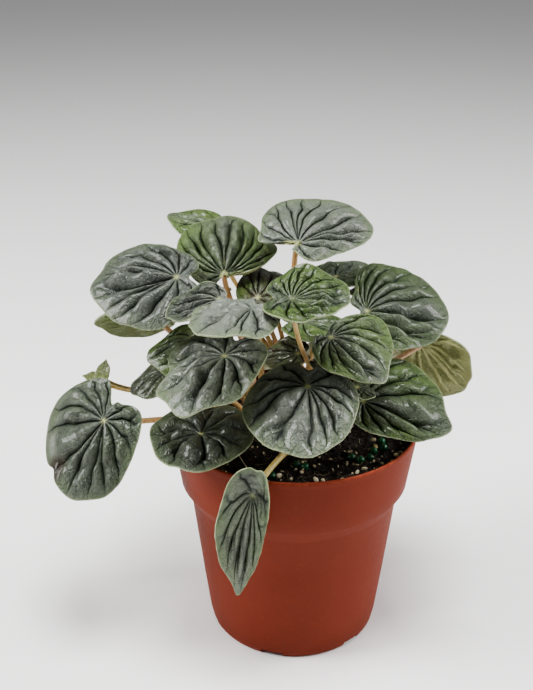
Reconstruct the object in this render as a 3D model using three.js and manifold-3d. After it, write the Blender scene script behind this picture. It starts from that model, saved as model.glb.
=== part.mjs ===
// Potted peperomia: ribbed leaves on stalks from three short crowns, potting mix and a round nursery pot.
// Millimetres, +Z up, origin at the centre of the pot's underside. -Y is the front.

import * as THREE from 'three';
import { mergeVertices } from 'three/addons/utils/BufferGeometryUtils.js';
import Module from 'manifold-3d';

const wasm = await Module();
wasm.setup();

// Clearance kept between pieces that touch.
const gap = 0.3;

// Pot: outer and inner radius at each height, a thin lip, a tapered collar, a step and a tapered body.
const rimRadius = 54;
const potHeight = 99;
const wall = 1.4;
const collarFoot = { r: 50, z: 73 };
const stepFoot = { r: 45.8, z: 65.7 };
const bodyFoot = { r: 38.5, z: 7 };
const footRadius = 36.2;
const footEdge = { out: 1.1, up: 1.6 };
const collarEdge = { in: 0.3, down: 0.6 };
const lip = { foot: 2.2, inset: 0.35, widest: 1.2, shoulder: 0.2, roll: 0.3, crest: 0.8, inner: 0.4 };
const floorThickness = 3.4;
const potSides = 44;
const notch = { count: 6, first: -104, deep: 5, high: 2.4, wide: 9.5 };

// Potting mix: top level, relief and the plain holes for the crowns.
const soilTop = 93.5;
const soilRelief = 0.55;
const soilWaves = { x: 0.21, xStart: 1.3, y: 0.17, yStart: -0.4, fine: [0.83, 0.31], cross: [-0.44, 0.71] };
const soilSides = 32;
const crownRadius = 4.6;
const crownFoot = 82;
const crownTop = 98;
const crownSides = 12;
const crownShoulder = { in: 1.5, down: 2.5, cap: 0.6 };
const crownHole = { sides: 16, above: 5 };
const crowns = [
  { name: 'crown_left', x: -13, y: -3 },
  { name: 'crown_right', x: 13, y: -4 },
  { name: 'crown_back', x: 1, y: 14 },
];

// Slow-release fertiliser beads lying on the mix: x, y.
const beadRadius = 1.7;
const beads = [
  [1, -32], [4.5, -34], [-9, -40.5], [24, -25], [27.7, -27], [31.5, -25], [33.5, -19], [37.5, -11], [38, -16],
];

// Blades: thickness, and how the form follows from a blade's own reach, width and lobe length.
const bladeThickness = 0.7;
const fullReach = 36;
const pointSpread = 0.22;
const cleftSpread = 0.14;
const wobble = { coarse: 0.018, coarseWaves: 4, offset: 1.7, fine: 0.012, fineWaves: 7 };
const rippleWaves = { main: 3, minor: 5, offset: 2.3, share: 0.6 };
const egg = 0.1;
const veinSweep = 0.22;
const lobeDroop = 0.35;
const leastLobe = 6;
const dimple = { deep: 1.6, spread: 0.2 };
const foldRounding = 2;
const puff = { high: 0.075, level: 0.15, fade: 0.86, rise: 0.7 };
const veinCount = { full: 12, small: 10 };
const ringShares = { full: [0.28, 0.55, 0.8, 1], few: [0.35, 0.7, 1] };
const fullSizeFrom = 26;

// Stalks: radius by leaf size, and how they leave the crown.
const stalkRadii = { large: 1.3, small: 1.05, tiny: 0.9 };
const stalkSides = 5;
const stalkSteps = 7;
const stalkRoot = { inside: 2.2, below: 3 };
const stalkLift = { least: 10, share: 0.5, lean: 0.25, reach: 0.22 };
const stalkEndGap = 0.45;
const smallSizeFrom = 14;

// One row for each leaf, by where it shows from the front:
// name, [stalk joint x, y, z], [heading, dip, roll], [reach to tip, width, lobe length],
// [tip drop, left drop, right drop, fold], [ripple, phase, lopsidedness], crown,
// [point at the tip, cleft between the lobes as a share of their length],
// bulges of the outline, each [angle from the tip, spread, share of the radius], [stalk arrival x, y, z]
const leaves = [
  ['left', [-49, -5, 167], [176, 5, -28], [36, 44, 10], [6, 5, 4.5, 0], [0.8, 1, 0], 0,
    [0.3, 0.5], [[-60, 26, 0.22], [-128, 30, -0.2], [125, 25, 0.12]], [2, 14, -14]],
  ['top_left', [-30.3, 8, 164], [92, -36, 2], [36, 41, 8], [10, 5, 5, 0], [1, 2, 0], 0,
    [0, 0.7], [[-82, 14, 0.2], [-150, 36, -0.78], [60, 25, 0.08], [135, 28, -0.1]]],
  ['top_left_rear', [-36, 44, 172], [168, -19, -12], [22, 25, 8], [4, 2, 2, 0], [0.6, 0.5, 0], 2,
    [0.6, 0.4], [[-20, 15, 0.06]]],
  ['top', [0.8, 10, 177.2], [36, -8, 32], [39.5, 39, 13], [6, 5, 1, 0], [0.6, 3, 0.36], 2,
    [0, 0.9], [[45, 30, 0.08], [-158, 26, -0.6], [168, 13, 0.4]]],
  ['centre_pale', [-17, -36, 166], [-122, -4, 0], [28, 39, 9], [4, 5, 4, 0], [0.6, 1.5, 0], 0,
    [0, 0.4], [[-15, 18, 0.06], [50, 25, -0.07], [98, 30, -0.2], [140, 25, -0.22], [-120, 30, 0.1]],
    [2, 15, -12]],
  ['centre_left', [-28, -32, 144], [-121, 24, 4], [29, 45, 14], [5, 3, 4, 0], [1.2, 2.5, -0.14], 0,
    [0.3, 0.35], [[-10, 18, 0.07], [38, 26, -0.13], [-58, 20, 0.1], [-84, 9, -0.07], [-112, 22, 0.14]]],
  ['front', [5, -38, 134], [-96, 26, 0], [31.5, 45, 13], [4, 5, 5, 0], [0.7, 0.2, -0.1], 1, [0, 0.4], []],
  ['front_left', [-38, -34, 110], [-96, 8, 0], [22, 42, 23], [3, 3, 3, 0], [0.8, 1.2, 0], 0,
    [0.6, 0.25], [[62, 25, -0.04]]],
  ['far_left', [-80, -20, 108], [-127, 50, -15], [34, 43, 19], [3, 6, 6, 0], [0.8, 2.2, -0.2], 0,
    [0, 0.3], [[162, 24, -0.48], [60, 35, 0.08], [12, 18, 0.04], [-88, 28, 0.16], [-38, 7, -0.07]]],
  ['over_rim', [-16, -60, 97], [180, 82, -88], [42, 19, 13], [0, 0, 0, 0.35], [0.5, 0.8, -0.25], 1,
    [2.2, 0.1], [[-142, 22, 0.24]], [8, 10, 11]],
  ['right', [30, 2, 150], [14, 3, 30], [35, 47, 8], [5, 4, 5, 0], [0.6, 1.9, 0.2], 1,
    [0, 0.6], [[30, 34, 0.14], [78, 30, 0.12], [148, 18, -0.32]]],
  ['crinkled', [-1.2, -35.5, 170], [3, 2, 20], [22.8, 34.4, 11.2], [2, 2, 1, 0.22], [1.2, 2.8, 0], 1,
    [0.4, 0.35], [[38, 20, 0.08], [-28, 24, -0.12], [-78, 30, -0.22], [130, 28, -0.18], [-145, 22, 0.2]],
    [2, 2, -30]],
  ['crinkled_under', [3.5, -3, 147], [-2, 0, 8], [20, 29, 10], [4, 4, 2, 0], [1.2, 0.9, 0], 2,
    [0.4, 0.4], [[-45, 25, -0.12]]],
  ['right_centre', [14.2, -25, 149.5], [-38, 20, 16], [27, 34, 5], [4, 1, 4, 0], [0.7, 1.1, 0.22], 1,
    [1.2, 0.5], [[118, 30, 0.16], [-55, 30, -0.15]], [0, -3, -14]],
  ['right_low', [28, -26, 122], [-8, 12, 40], [36, 37, 7], [4, 4, 3, 0], [0.8, 2.1, 0.26], 1,
    [1.6, 0.5], [[-42, 20, -0.06], [-95, 35, -0.1], [95, 30, 0.08]]],
  ['right_turned', [54, 8, 133], [10, 47, -60], [29, 30, 5], [4, 4, 4, 0], [1.2, 1.4, 0], 1,
    [0.6, 0.4], [[-100, 35, 0.1], [35, 25, 0.1]], [-9, -4, -6]],
  ['young_centre', [1, -12, 136.3], [-178, 6, -20], [15, 18.5, 5.5], [2, 0, 0, 0.2], [0.6, 1.6, 0.1], 1,
    [0, 0.4], []],
  ['young_right', [9.5, -26, 138], [-36, 18, 0], [8, 7, 4], [2, 1, 1, 0], [0.4, 1.6, 0], 1, [0.4, 0.4], []],
  ['young_purple', [-16, 4, 155], [88, -34, 0], [20, 22, 7], [8, 2, 2, 0], [0.6, 0.4, -0.15], 2,
    [0.4, 0.4], []],
  ['young_grey', [-12, 34, 150], [80, -10, 0], [14, 18, 6], [3, 1, 1, 0], [0.4, 0.6, 0], 2, [0.4, 0.4], []],
  ['right_rear', [18, 38, 152], [60, -10, 0], [22, 31, 8], [5, 2, 2, 0], [0.6, 1.3, 0], 2, [0.4, 0.4], []],
  ['folded_left', [-30.5, -19.5, 163], [190, 14, -22], [22, 17, 4], [2, 0, 0, 0.35], [0.6, 2.4, 0], 0,
    [1, 0.3], [], [4, 12, -10]],
  ['left_turned', [-60, 14, 142], [178, 4, 50], [26, 30, 8], [4, 3, 3, 0], [0.6, 0.7, 0], 0,
    [1.4, 0.4], [], [4, -3, -8]],
  ['left_inner', [-44, -1, 138], [-165, 14, -20], [20, 24, 8], [6, 4, 2, 0], [0.8, 1.7, 0.3], 0,
    [0.4, 0.4], [[-60, 30, 0.1]]],
  ['left_low', [-55, -4, 124], [-160, 22, -10], [17, 20, 6], [3, 2, 2, 0], [0.6, 1.9, 0], 0,
    [0.4, 0.4], [[-70, 35, 0.16]]],
  ['right_small', [25, -30, 130], [-20, 14, 10], [8, 9, 3], [1, 1, 1, 0], [0.3, 1.9, 0], 1,
    [0.4, 0.4], [], [-8, 2, -4]],
  ['bud_upright', [-83.5, 0, 118.5], [60, -60, 0], [7, 7, 3], [0, 0, 0, 0.2], [0.2, 0.9, 0], 0,
    [4, 0.4], [], [10, 3, -12]],
  ['bud_flat', [-87, 4, 117], [175, 0, -20], [5, 5, 2], [0, 0, 0, 0.2], [0.2, 0.9, 0], 0,
    [3, 0.4], [], [10, 3, -12]],
  ['rear_left', [-42, 30, 146], [150, 20, 10], [32, 38, 12], [6, 4, 4, 0], [0.8, 1.2, 0], 0, [0.3, 0.4], []],
  ['rear_middle_left', [-24, 46, 134], [118, 26, 0], [30, 36, 12], [6, 4, 4, 0], [0.8, 2.6, 0.1], 2,
    [0, 0.5], []],
  ['rear_middle', [5, 52, 142], [86, 20, 0], [32, 38, 12], [6, 5, 4, 0], [0.8, 0.4, 0], 2, [0.6, 0.4], []],
  ['rear_right', [36, 38, 142], [48, 20, 0], [31, 38, 11], [6, 4, 5, 0], [0.8, 1.8, -0.1], 2,
    [0, 0.35], []],
  ['rear_right_low', [46, 38, 118], [42, 36, 0], [26, 28, 9], [5, 4, 4, 0], [0.8, 2.9, 0], 1,
    [0.4, 0.4], []],
  ['rear_low_left', [-40, 40, 112], [134, 40, 0], [28, 32, 12], [5, 4, 4, 0], [0.8, 0.9, 0], 0,
    [0.4, 0.4], []],
  ['rear_low', [-10, 56, 110], [102, 42, 0], [28, 31, 11], [5, 4, 4, 0], [0.8, 1.5, 0.1], 2, [0, 0.5], []],
  ['rear_low_right', [20, 56, 110], [78, 42, 0], [28, 33, 11], [5, 4, 4, 0], [0.8, 2.2, 0], 2,
    [0.6, 0.3], []],
];

const radians = THREE.MathUtils.degToRad;
const plant = new THREE.Group();

function material(color, roughness) {
  return new THREE.MeshStandardMaterial({ color, roughness, metalness: 0 });
}

function addMesh(name, geometry, finish) {
  const mesh = new THREE.Mesh(geometry, finish);
  mesh.name = name;
  plant.add(mesh);
  return mesh;
}

function toSolid(geometry) {
  const bare = geometry.clone();
  bare.deleteAttribute('normal');
  bare.deleteAttribute('uv');
  const merged = mergeVertices(bare, 1e-4);
  return new wasm.Manifold(new wasm.Mesh({
    numProp: 3,
    vertProperties: new Float32Array(merged.attributes.position.array),
    triVerts: new Uint32Array(merged.index.array),
  }));
}

function fromSolid(solid) {
  const mesh = solid.getMesh();
  const geometry = new THREE.BufferGeometry();
  geometry.setAttribute('position', new THREE.BufferAttribute(mesh.vertProperties, 3));
  geometry.setIndex(new THREE.BufferAttribute(mesh.triVerts, 1));
  return geometry;
}

// Turns a closed profile of [r, z] points about Z; the seam is welded.
function turned(profile, sides) {
  return new THREE.LatheGeometry(profile.map(([r, z]) => new THREE.Vector2(r, z)), sides)
    .rotateX(Math.PI / 2);
}

function innerRadius(z) {
  const points = [
    [bodyFoot.z, bodyFoot.r - wall],
    [stepFoot.z, stepFoot.r - wall],
    [collarFoot.z, collarFoot.r - wall],
    [potHeight, rimRadius - wall],
  ];
  for (let i = 1; i < points.length; i += 1) {
    const [z0, r0] = points[i - 1];
    const [z1, r1] = points[i];
    if (z <= z1) {
      return THREE.MathUtils.mapLinear(z, z0, z1, r0, r1);
    }
  }
  return rimRadius - wall;
}

function potGeometry() {
  const outside = [
    [0, 0],
    [footRadius, 0],
    [footRadius + footEdge.out, footEdge.up],
    [bodyFoot.r, bodyFoot.z],
    [stepFoot.r, stepFoot.z],
    [collarFoot.r - collarEdge.in, collarFoot.z - collarEdge.down],
    [collarFoot.r, collarFoot.z],
    [rimRadius - lip.inset, potHeight - lip.foot],
    [rimRadius, potHeight - lip.widest],
    [rimRadius - lip.roll, potHeight - lip.shoulder],
    [rimRadius - lip.crest, potHeight],
  ];
  const inside = [
    [rimRadius - wall, potHeight - lip.inner],
    [innerRadius(collarFoot.z), collarFoot.z],
    [innerRadius(stepFoot.z), stepFoot.z],
    [innerRadius(bodyFoot.z), bodyFoot.z],
    [footRadius - wall, floorThickness],
    [0, floorThickness],
  ];
  let solid = toSolid(turned([...outside, ...inside], potSides));
  for (let i = 0; i < notch.count; i += 1) {
    const cutter = new THREE.BoxGeometry(2 * notch.deep, notch.wide, 2 * notch.high);
    cutter.translate(footRadius + 1, 0, 0);
    cutter.rotateZ(radians(notch.first + i * 360 / notch.count));
    solid = solid.subtract(toSolid(cutter));
  }
  return fromSolid(solid);
}

// Height of the mix: low swells crossed by a finer crumble, level where the crowns stand.
function soilHeight(x, y) {
  const { fine, cross } = soilWaves;
  const swell = Math.sin(soilWaves.x * x + soilWaves.xStart) * Math.cos(soilWaves.y * y + soilWaves.yStart);
  const crumble = Math.sin(fine[0] * x + fine[1] * y) * Math.sin(cross[0] * x + cross[1] * y);
  return soilTop + soilRelief * (0.5 * swell + 0.5 * crumble);
}

function soilGeometry() {
  const rings = [0.18, 0.36, 0.52, 0.68, 0.84, 1];
  const foot = floorThickness + gap;
  const topRadius = innerRadius(soilTop) - 2 * gap;
  const points = [0, 0, soilHeight(0, 0)];
  for (const share of rings) {
    for (let i = 0; i < soilSides; i += 1) {
      const angle = 2 * Math.PI * i / soilSides;
      const x = share * topRadius * Math.cos(angle);
      const y = share * topRadius * Math.sin(angle);
      points.push(x, y, soilHeight(x, y));
    }
  }
  const sides = [
    [innerRadius(collarFoot.z) - 2 * gap, collarFoot.z - gap],
    [innerRadius(stepFoot.z) - 2 * gap, stepFoot.z],
    [innerRadius(bodyFoot.z) - 2 * gap, bodyFoot.z + gap],
    [footRadius - wall - 3 * gap, foot],
  ];
  for (const [r, z] of sides) {
    for (let i = 0; i < soilSides; i += 1) {
      const angle = 2 * Math.PI * i / soilSides;
      points.push(r * Math.cos(angle), r * Math.sin(angle), z);
    }
  }
  points.push(0, 0, foot);
  const bands = rings.length + sides.length;
  const faces = [];
  for (let i = 0; i < soilSides; i += 1) {
    const next = (i + 1) % soilSides;
    faces.push(0, 1 + i, 1 + next);
    for (let band = 0; band < bands - 1; band += 1) {
      const a = 1 + band * soilSides;
      const b = a + soilSides;
      faces.push(a + i, b + i, b + next, a + i, b + next, a + next);
    }
    const last = 1 + (bands - 1) * soilSides;
    faces.push(last + i, last + soilSides, last + next);
  }
  const geometry = new THREE.BufferGeometry();
  geometry.setAttribute('position', new THREE.Float32BufferAttribute(points, 3));
  geometry.setIndex(faces);
  let solid = toSolid(geometry);
  for (const crown of crowns) {
    const depth = soilTop + crownHole.above - (crownFoot - gap);
    const hole = new THREE.CylinderGeometry(crownRadius + gap, crownRadius + gap, depth, crownHole.sides);
    hole.rotateX(Math.PI / 2);
    hole.translate(crown.x, crown.y, crownFoot - gap + depth / 2);
    solid = solid.subtract(toSolid(hole));
  }
  return fromSolid(solid);
}

// How far a blade's outline stands out or in at an angle from the tip, as a factor of its radius.
function bulgeAt(leaf, t) {
  let factor = 1;
  for (const [angle, spread, amount] of leaf.bulges) {
    const off = Math.atan2(Math.sin(t - radians(angle)), Math.cos(t - radians(angle)));
    factor += amount * Math.exp(-((off / radians(spread)) ** 2));
  }
  return factor;
}

// A point of a blade's upper face, in the blade's own axes: x to the tip, y to its left, z up, the joint at the
// origin. The outline is an egg with a point, a cleft between the lobes and its own bulges.
// share runs from the joint to the margin along a vein at angle t; veins bend forward on the way. The face
// droops to its edges, dimples at the joint, is puffed between the sunken veins and ripples at the margin.
function bladePoint(leaf, t, share) {
  const [reach, width, lobe] = leaf.size;
  const [tipDrop, leftDrop, rightDrop, fold] = leaf.bend;
  const [ripple, phase, lop] = leaf.wave;
  const scale = reach / fullReach;
  const fromCleft = Math.PI - Math.abs(t);
  const pointOut = leaf.point * scale * Math.exp(-((t / pointSpread) ** 2));
  const cleftIn = leaf.cleft * lobe * Math.exp(-((fromCleft / cleftSpread) ** 2));
  const waver = wobble.coarse * Math.sin(wobble.coarseWaves * t + wobble.offset * phase)
    + wobble.fine * Math.sin(wobble.fineWaves * t + phase);
  const uneven = (1 + waver) * bulgeAt(leaf, t);
  const broad = (1 - egg * Math.cos(t)) * (1 + lop * Math.sin(t));
  const edgeX = uneven * ((reach - lobe) / 2 + (reach + lobe) / 2 * Math.cos(t)) + pointOut + cleftIn;
  const edgeY = uneven * broad * width / 2 * Math.sin(t);
  const x = share * edgeX - veinSweep * share * (1 - share) * Math.abs(edgeY);
  const y = share * edgeY;
  const side = (2 * y / width) ** 2;
  let z = -tipDrop * (Math.max(x, 0) / reach) ** 2;
  z -= lobeDroop * tipDrop * lobe / reach * (Math.min(x, 0) / Math.max(lobe, leastLobe)) ** 2;
  z -= (y > 0 ? leftDrop : rightDrop) * side;
  z += fold * (Math.hypot(y, foldRounding) - foldRounding);
  z += dimple.deep * scale * (1 - Math.exp(-(x * x + y * y) / (dimple.spread * width) ** 2));
  const ridge = puff.level - 0.5 * Math.cos(leaf.veins * t);
  z += puff.high * width * ridge * share ** puff.rise * (1 - puff.fade * share);
  const minorRipple = rippleWaves.share * Math.sin(rippleWaves.minor * t + rippleWaves.offset * phase);
  z += ripple * share ** 3 * (Math.sin(rippleWaves.main * t + phase) + minorRipple);
  return [x, y, z];
}

function bladeGeometry(leaf) {
  const spokes = 2 * leaf.veins;
  const top = [...bladePoint(leaf, 0, 0)];
  for (const share of leaf.rings) {
    for (let i = 0; i < spokes; i += 1) {
      top.push(...bladePoint(leaf, 2 * Math.PI * i / spokes - Math.PI, share));
    }
  }
  const faces = [];
  for (let i = 0; i < spokes; i += 1) {
    const next = (i + 1) % spokes;
    faces.push(0, 1 + i, 1 + next);
    for (let ring = 0; ring < leaf.rings.length - 1; ring += 1) {
      const a = 1 + ring * spokes;
      const b = a + spokes;
      faces.push(a + i, b + i, b + next, a + i, b + next, a + next);
    }
  }
  const sheet = new THREE.BufferGeometry();
  sheet.setAttribute('position', new THREE.Float32BufferAttribute(top, 3));
  sheet.setIndex(faces);
  sheet.computeVertexNormals();
  const normals = sheet.attributes.normal.array;
  const count = top.length / 3;
  const both = [...top, ...top.map((value, i) => value - bladeThickness * normals[i])];
  const closed = [...faces];
  for (let i = 0; i < faces.length; i += 3) {
    closed.push(count + faces[i], count + faces[i + 2], count + faces[i + 1]);
  }
  const rim = count - spokes;
  for (let i = 0; i < spokes; i += 1) {
    const a = rim + i;
    const b = rim + (i + 1) % spokes;
    closed.push(a, a + count, b + count, a, b + count, b);
  }
  const geometry = new THREE.BufferGeometry();
  geometry.setAttribute('position', new THREE.Float32BufferAttribute(both, 3));
  geometry.setIndex(closed);
  return geometry;
}

// A leaf's stalk leaves its crown upwards and meets the blade's underside square on, or as its row says.
function stalkSolid(leaf) {
  const crown = crowns[leaf.crown];
  const joint = new THREE.Vector3(...leaf.at);
  const turn = new THREE.Euler(...leaf.turn, 'ZYX');
  const down = new THREE.Vector3(0, 0, -1).applyEuler(turn);
  const arrival = leaf.arrival ? new THREE.Vector3(...leaf.arrival) : down;
  const tilt = arrival.angleTo(down);
  const below = bladeThickness + stalkEndGap + leaf.stalkRadius * Math.sin(tilt);
  const end = joint.clone().addScaledVector(down, below);
  const away = Math.hypot(joint.x - crown.x, joint.y - crown.y);
  const start = new THREE.Vector3(crown.x, crown.y, crownTop - stalkRoot.below);
  start.x += stalkRoot.inside * (joint.x - crown.x) / away;
  start.y += stalkRoot.inside * (joint.y - crown.y) / away;
  const first = new THREE.Vector3(
    THREE.MathUtils.lerp(start.x, joint.x, stalkLift.lean),
    THREE.MathUtils.lerp(start.y, joint.y, stalkLift.lean),
    start.z + stalkLift.least + stalkLift.share * (joint.z - crownTop),
  );
  const last = end.clone();
  if (leaf.arrival) {
    last.add(arrival);
  } else {
    last.addScaledVector(down, stalkLift.reach * start.distanceTo(end));
  }
  const path = new THREE.CubicBezierCurve3(start, first, last, end);
  const section = new THREE.Shape();
  for (let i = 0; i < stalkSides; i += 1) {
    const angle = 2 * Math.PI * i / stalkSides;
    const corner = [leaf.stalkRadius * Math.cos(angle), leaf.stalkRadius * Math.sin(angle)];
    if (i === 0) {
      section.moveTo(...corner);
    } else {
      section.lineTo(...corner);
    }
  }
  section.closePath();
  return toSolid(new THREE.ExtrudeGeometry(section, { steps: stalkSteps, extrudePath: path }));
}

function crownGeometry(index) {
  const stump = turned([
    [0, crownFoot],
    [crownRadius, crownFoot],
    [crownRadius, crownTop - crownShoulder.down],
    [crownRadius - crownShoulder.in, crownTop - crownShoulder.cap],
    [0, crownTop],
  ], crownSides).translate(crowns[index].x, crowns[index].y, 0);
  let solid = toSolid(stump);
  for (const leaf of shaped.filter((item) => item.crown === index)) {
    solid = solid.add(stalkSolid(leaf));
  }
  return fromSolid(solid);
}

function stalkRadiusFor(reach) {
  if (reach >= fullSizeFrom) {
    return stalkRadii.large;
  }
  return reach >= smallSizeFrom ? stalkRadii.small : stalkRadii.tiny;
}

const shaped = leaves.map(([name, at, turn, size, bend, wave, crown, tip, bulges, arrival]) => ({
  name,
  at,
  turn: [turn[2], turn[1], turn[0]].map(radians),
  size,
  bend,
  wave,
  crown,
  point: tip[0],
  cleft: tip[1],
  bulges,
  arrival,
  stalkRadius: stalkRadiusFor(size[0]),
  veins: size[0] >= fullSizeFrom ? veinCount.full : veinCount.small,
  rings: size[0] >= fullSizeFrom && !name.startsWith('rear') ? ringShares.full : ringShares.few,
}));

const potFinish = material(0x9c5140, 0.45);
const soilFinish = material(0x241e1a, 0.95);
const stalkFinish = material(0xa67a4a, 0.5);
const bladeFinish = material(0x5f6f5f, 0.35);
const beadFinish = material(0x12452f, 0.35);

addMesh('pot', potGeometry(), potFinish);
addMesh('soil', soilGeometry(), soilFinish);
crowns.forEach((crown, index) => addMesh(crown.name, crownGeometry(index), stalkFinish));
for (const leaf of shaped) {
  const blade = addMesh(`leaf_${leaf.name}`, bladeGeometry(leaf), bladeFinish);
  blade.position.set(...leaf.at);
  blade.rotation.set(...leaf.turn, 'ZYX');
}
beads.forEach(([x, y], index) => {
  const bead = addMesh(`bead_${index + 1}`, new THREE.IcosahedronGeometry(beadRadius, 0), beadFinish);
  bead.position.set(x, y, soilHeight(x, y) + beadRadius + gap);
});

export default plant;
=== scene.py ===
import math
import bpy
import numpy as np
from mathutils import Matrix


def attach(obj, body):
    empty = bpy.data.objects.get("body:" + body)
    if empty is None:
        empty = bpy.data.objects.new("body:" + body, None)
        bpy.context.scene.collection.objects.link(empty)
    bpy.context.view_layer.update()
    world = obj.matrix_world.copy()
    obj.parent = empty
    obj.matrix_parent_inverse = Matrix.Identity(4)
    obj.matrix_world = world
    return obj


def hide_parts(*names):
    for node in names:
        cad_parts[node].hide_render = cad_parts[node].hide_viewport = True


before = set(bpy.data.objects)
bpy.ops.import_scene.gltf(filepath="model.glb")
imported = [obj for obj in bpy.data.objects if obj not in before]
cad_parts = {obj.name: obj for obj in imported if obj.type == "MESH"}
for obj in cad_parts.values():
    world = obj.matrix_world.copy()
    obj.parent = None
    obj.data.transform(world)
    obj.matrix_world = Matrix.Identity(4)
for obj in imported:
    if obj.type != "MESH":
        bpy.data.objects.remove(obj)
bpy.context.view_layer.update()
print("frame loaded:", len(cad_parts), "nodes")

mm = 0.001


# Step from 0 to 1 between two values, with level ends: 3x^2 - 2x^3.
def smoothStep(low, high, value):
    x = np.clip((value - low) / (high - low), 0, 1)
    return x * x * (3 - 2 * x)


# A bell, 1 at zero and fading with distance: e to the minus (distance / width) squared.
def bellOf(distance, width):
    return np.exp(-(distance / width) ** 2)


# A smooth random field: the sum of plane waves in random directions, the finer the lower.
def waveField(points, seed, waves, finest, coarsest):
    random = np.random.default_rng(seed)
    lengths = np.geomspace(coarsest, finest, waves)
    directions = random.normal(size=(waves, points.shape[-1]))
    directions /= np.linalg.norm(directions, axis=1, keepdims=True)
    phases = random.uniform(0, 2 * np.pi, waves)
    total = np.sin(points @ (directions.T * (2 * np.pi / lengths)) + phases) @ (lengths / coarsest) ** 0.8
    return total / 3.0


# The matrix of a heading about Z, a dip about Y and a roll about X, in degrees.
def turnOf(angles):
    (ch, cd, cr), (sh, sd, sr) = np.cos(np.radians(angles)), np.sin(np.radians(angles))
    aboutZ = np.array([[ch, -sh, 0], [sh, ch, 0], [0, 0, 1]])
    aboutY = np.array([[cd, 0, sd], [0, 1, 0], [-sd, 0, cd]])
    aboutX = np.array([[1, 0, 0], [0, cr, -sr], [0, sr, cr]])
    return aboutZ @ aboutY @ aboutX


# Rings round Z: x = r cos angle, y = r sin angle, with a row of r and z for each ring.
def ringPoints(r, z, sides):
    angle = 2 * np.pi * np.arange(sides) / sides
    return np.stack([r * np.cos(angle), r * np.sin(angle), z + 0 * r * angle], axis=-1)


# Points of a closed surface: its rings one after the other, then a point for each end.
def closedPoints(rings, first, last):
    return np.concatenate([rings.reshape(-1, 3), [first, last]])


# Its faces: four-cornered ones between neighbouring rings, triangles from the end points to the outer rings.
def closedFaces(rings, sides, flip=False):
    i, j = np.meshgrid(np.arange(rings - 1), np.arange(sides), indexing="ij")
    a, b = i * sides + j, i * sides + (j + 1) % sides
    walls = np.stack([a, a + sides, b + sides, b], axis=-1).reshape(-1, 4)
    faces = [walls[:, ::-1] if flip else walls]
    count, j = rings * sides, np.arange(sides)
    for centre, start, turned in ((count, 0, flip), (count + 1, count - sides, not flip)):
        a, b = start + j, start + (j + 1) % sides
        middle = np.full(sides, centre)
        faces.append(np.stack([middle, b, a] if turned else [middle, a, b], axis=-1))
    return faces


# Several closed surfaces as one: their points, faces and masks in a row.
def joinParts(parts):
    starts = np.cumsum([0] + [len(points) for points, _, _ in parts])
    faces = [rows + start for (_, partFaces, _), start in zip(parts, starts) for rows in partFaces]
    masks = {key: np.concatenate([part[2][key] for part in parts]) for key in parts[0][2]}
    return np.concatenate([part[0] for part in parts]), faces, masks


def setSmooth(mesh, smooth):
    mesh.polygons.foreach_set("use_smooth", np.full(len(mesh.polygons), smooth))


# Puts points in millimetres, their faces and their masks into a new object.
def makePiece(name, finish, points, faces, masks=None, flatMap=None):
    mesh = bpy.data.meshes.new(name)
    mesh.from_pydata((points * mm).tolist(), [], [row for part in faces for row in part.tolist()])
    for key, values in (masks or {}).items():
        mesh.attributes.new(key, "FLOAT", "POINT").data.foreach_set("value", values.astype(np.float32))
    if flatMap is not None:
        corners = np.empty(len(mesh.loops), dtype=np.int32)
        mesh.loops.foreach_get("vertex_index", corners)
        mesh.uv_layers.new(name="leafMap").data.foreach_set("uv", flatMap[corners].astype(np.float32).ravel())
    setSmooth(mesh, True)
    mesh.materials.append(finish)
    mesh.update()
    piece = bpy.data.objects.new(name, mesh)
    bpy.context.scene.collection.objects.link(piece)
    return piece


# A tube: rings of radius r round each point of a path, square to it, closed at both ends.
def tubeOf(path, radii, sides):
    along = np.gradient(path, axis=0)
    along /= np.linalg.norm(along, axis=1, keepdims=True)
    bend = np.cross(path[-1] - path[0], path[len(path) // 2] - path[0])
    if np.linalg.norm(bend) < 1e-3:
        bend = np.cross(along[0], (0.3, 0.3, 1.3))    # a straight path takes any direction off its axis
    across = bend - (along @ bend)[:, None] * along
    across /= np.linalg.norm(across, axis=1, keepdims=True)
    other = np.cross(along, across)
    circle = ringPoints(1, 0, sides)[..., None]
    spokes = circle[:, 0] * across[:, None] + circle[:, 1] * other[:, None]
    rings = path[:, None] + radii[:, None, None] * spokes
    return closedPoints(rings, path[0], path[-1]), closedFaces(len(path), sides, flip=True)


# A surface turned about Z: radius and height of a profile, swept round the circle; its ends lie on the axis.
def turnedSurface(profile, sides):
    profile = np.array(profile, dtype=float)
    rings = ringPoints(profile[1:-1, :1], profile[1:-1, 1:], sides)
    points = closedPoints(rings, (0, 0, profile[0, 1]), (0, 0, profile[-1, 1]))
    return points, closedFaces(len(rings), sides, flip=True)


# Each input of a node is linked where its value is a socket, and set otherwise.
def fillNode(tree, node, inputs):
    for key, value in inputs.items():
        if isinstance(value, bpy.types.NodeSocket):
            tree.links.new(value, node.inputs[key])
        else:
            node.inputs[key].default_value = value


def addNode(tree, kind, inputs=None, **settings):
    node = tree.nodes.new("ShaderNode" + kind)
    for key, value in settings.items():
        setattr(node, key, value)
    fillNode(tree, node, inputs or {})
    return node


def mixColour(tree, factor, a, b, how="MIX"):
    return addNode(tree, "Mix", {0: factor, 6: a, 7: b}, data_type="RGBA", blend_type=how).outputs[2]


def calculate(tree, how, a, b=0.0, c=0.0, clamp=False):
    return addNode(tree, "Math", {0: a, 1: b, 2: c}, operation=how, use_clamp=clamp).outputs[0]


def mapTo(tree, value, low, high, toLow=0.0, toHigh=1.0):
    return addNode(tree, "MapRange", {0: value, 1: low, 2: high, 3: toLow, 4: toHigh}).outputs[0]


def maskFrom(tree, name):
    return addNode(tree, "Attribute", attribute_name=name).outputs["Fac"]


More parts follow.
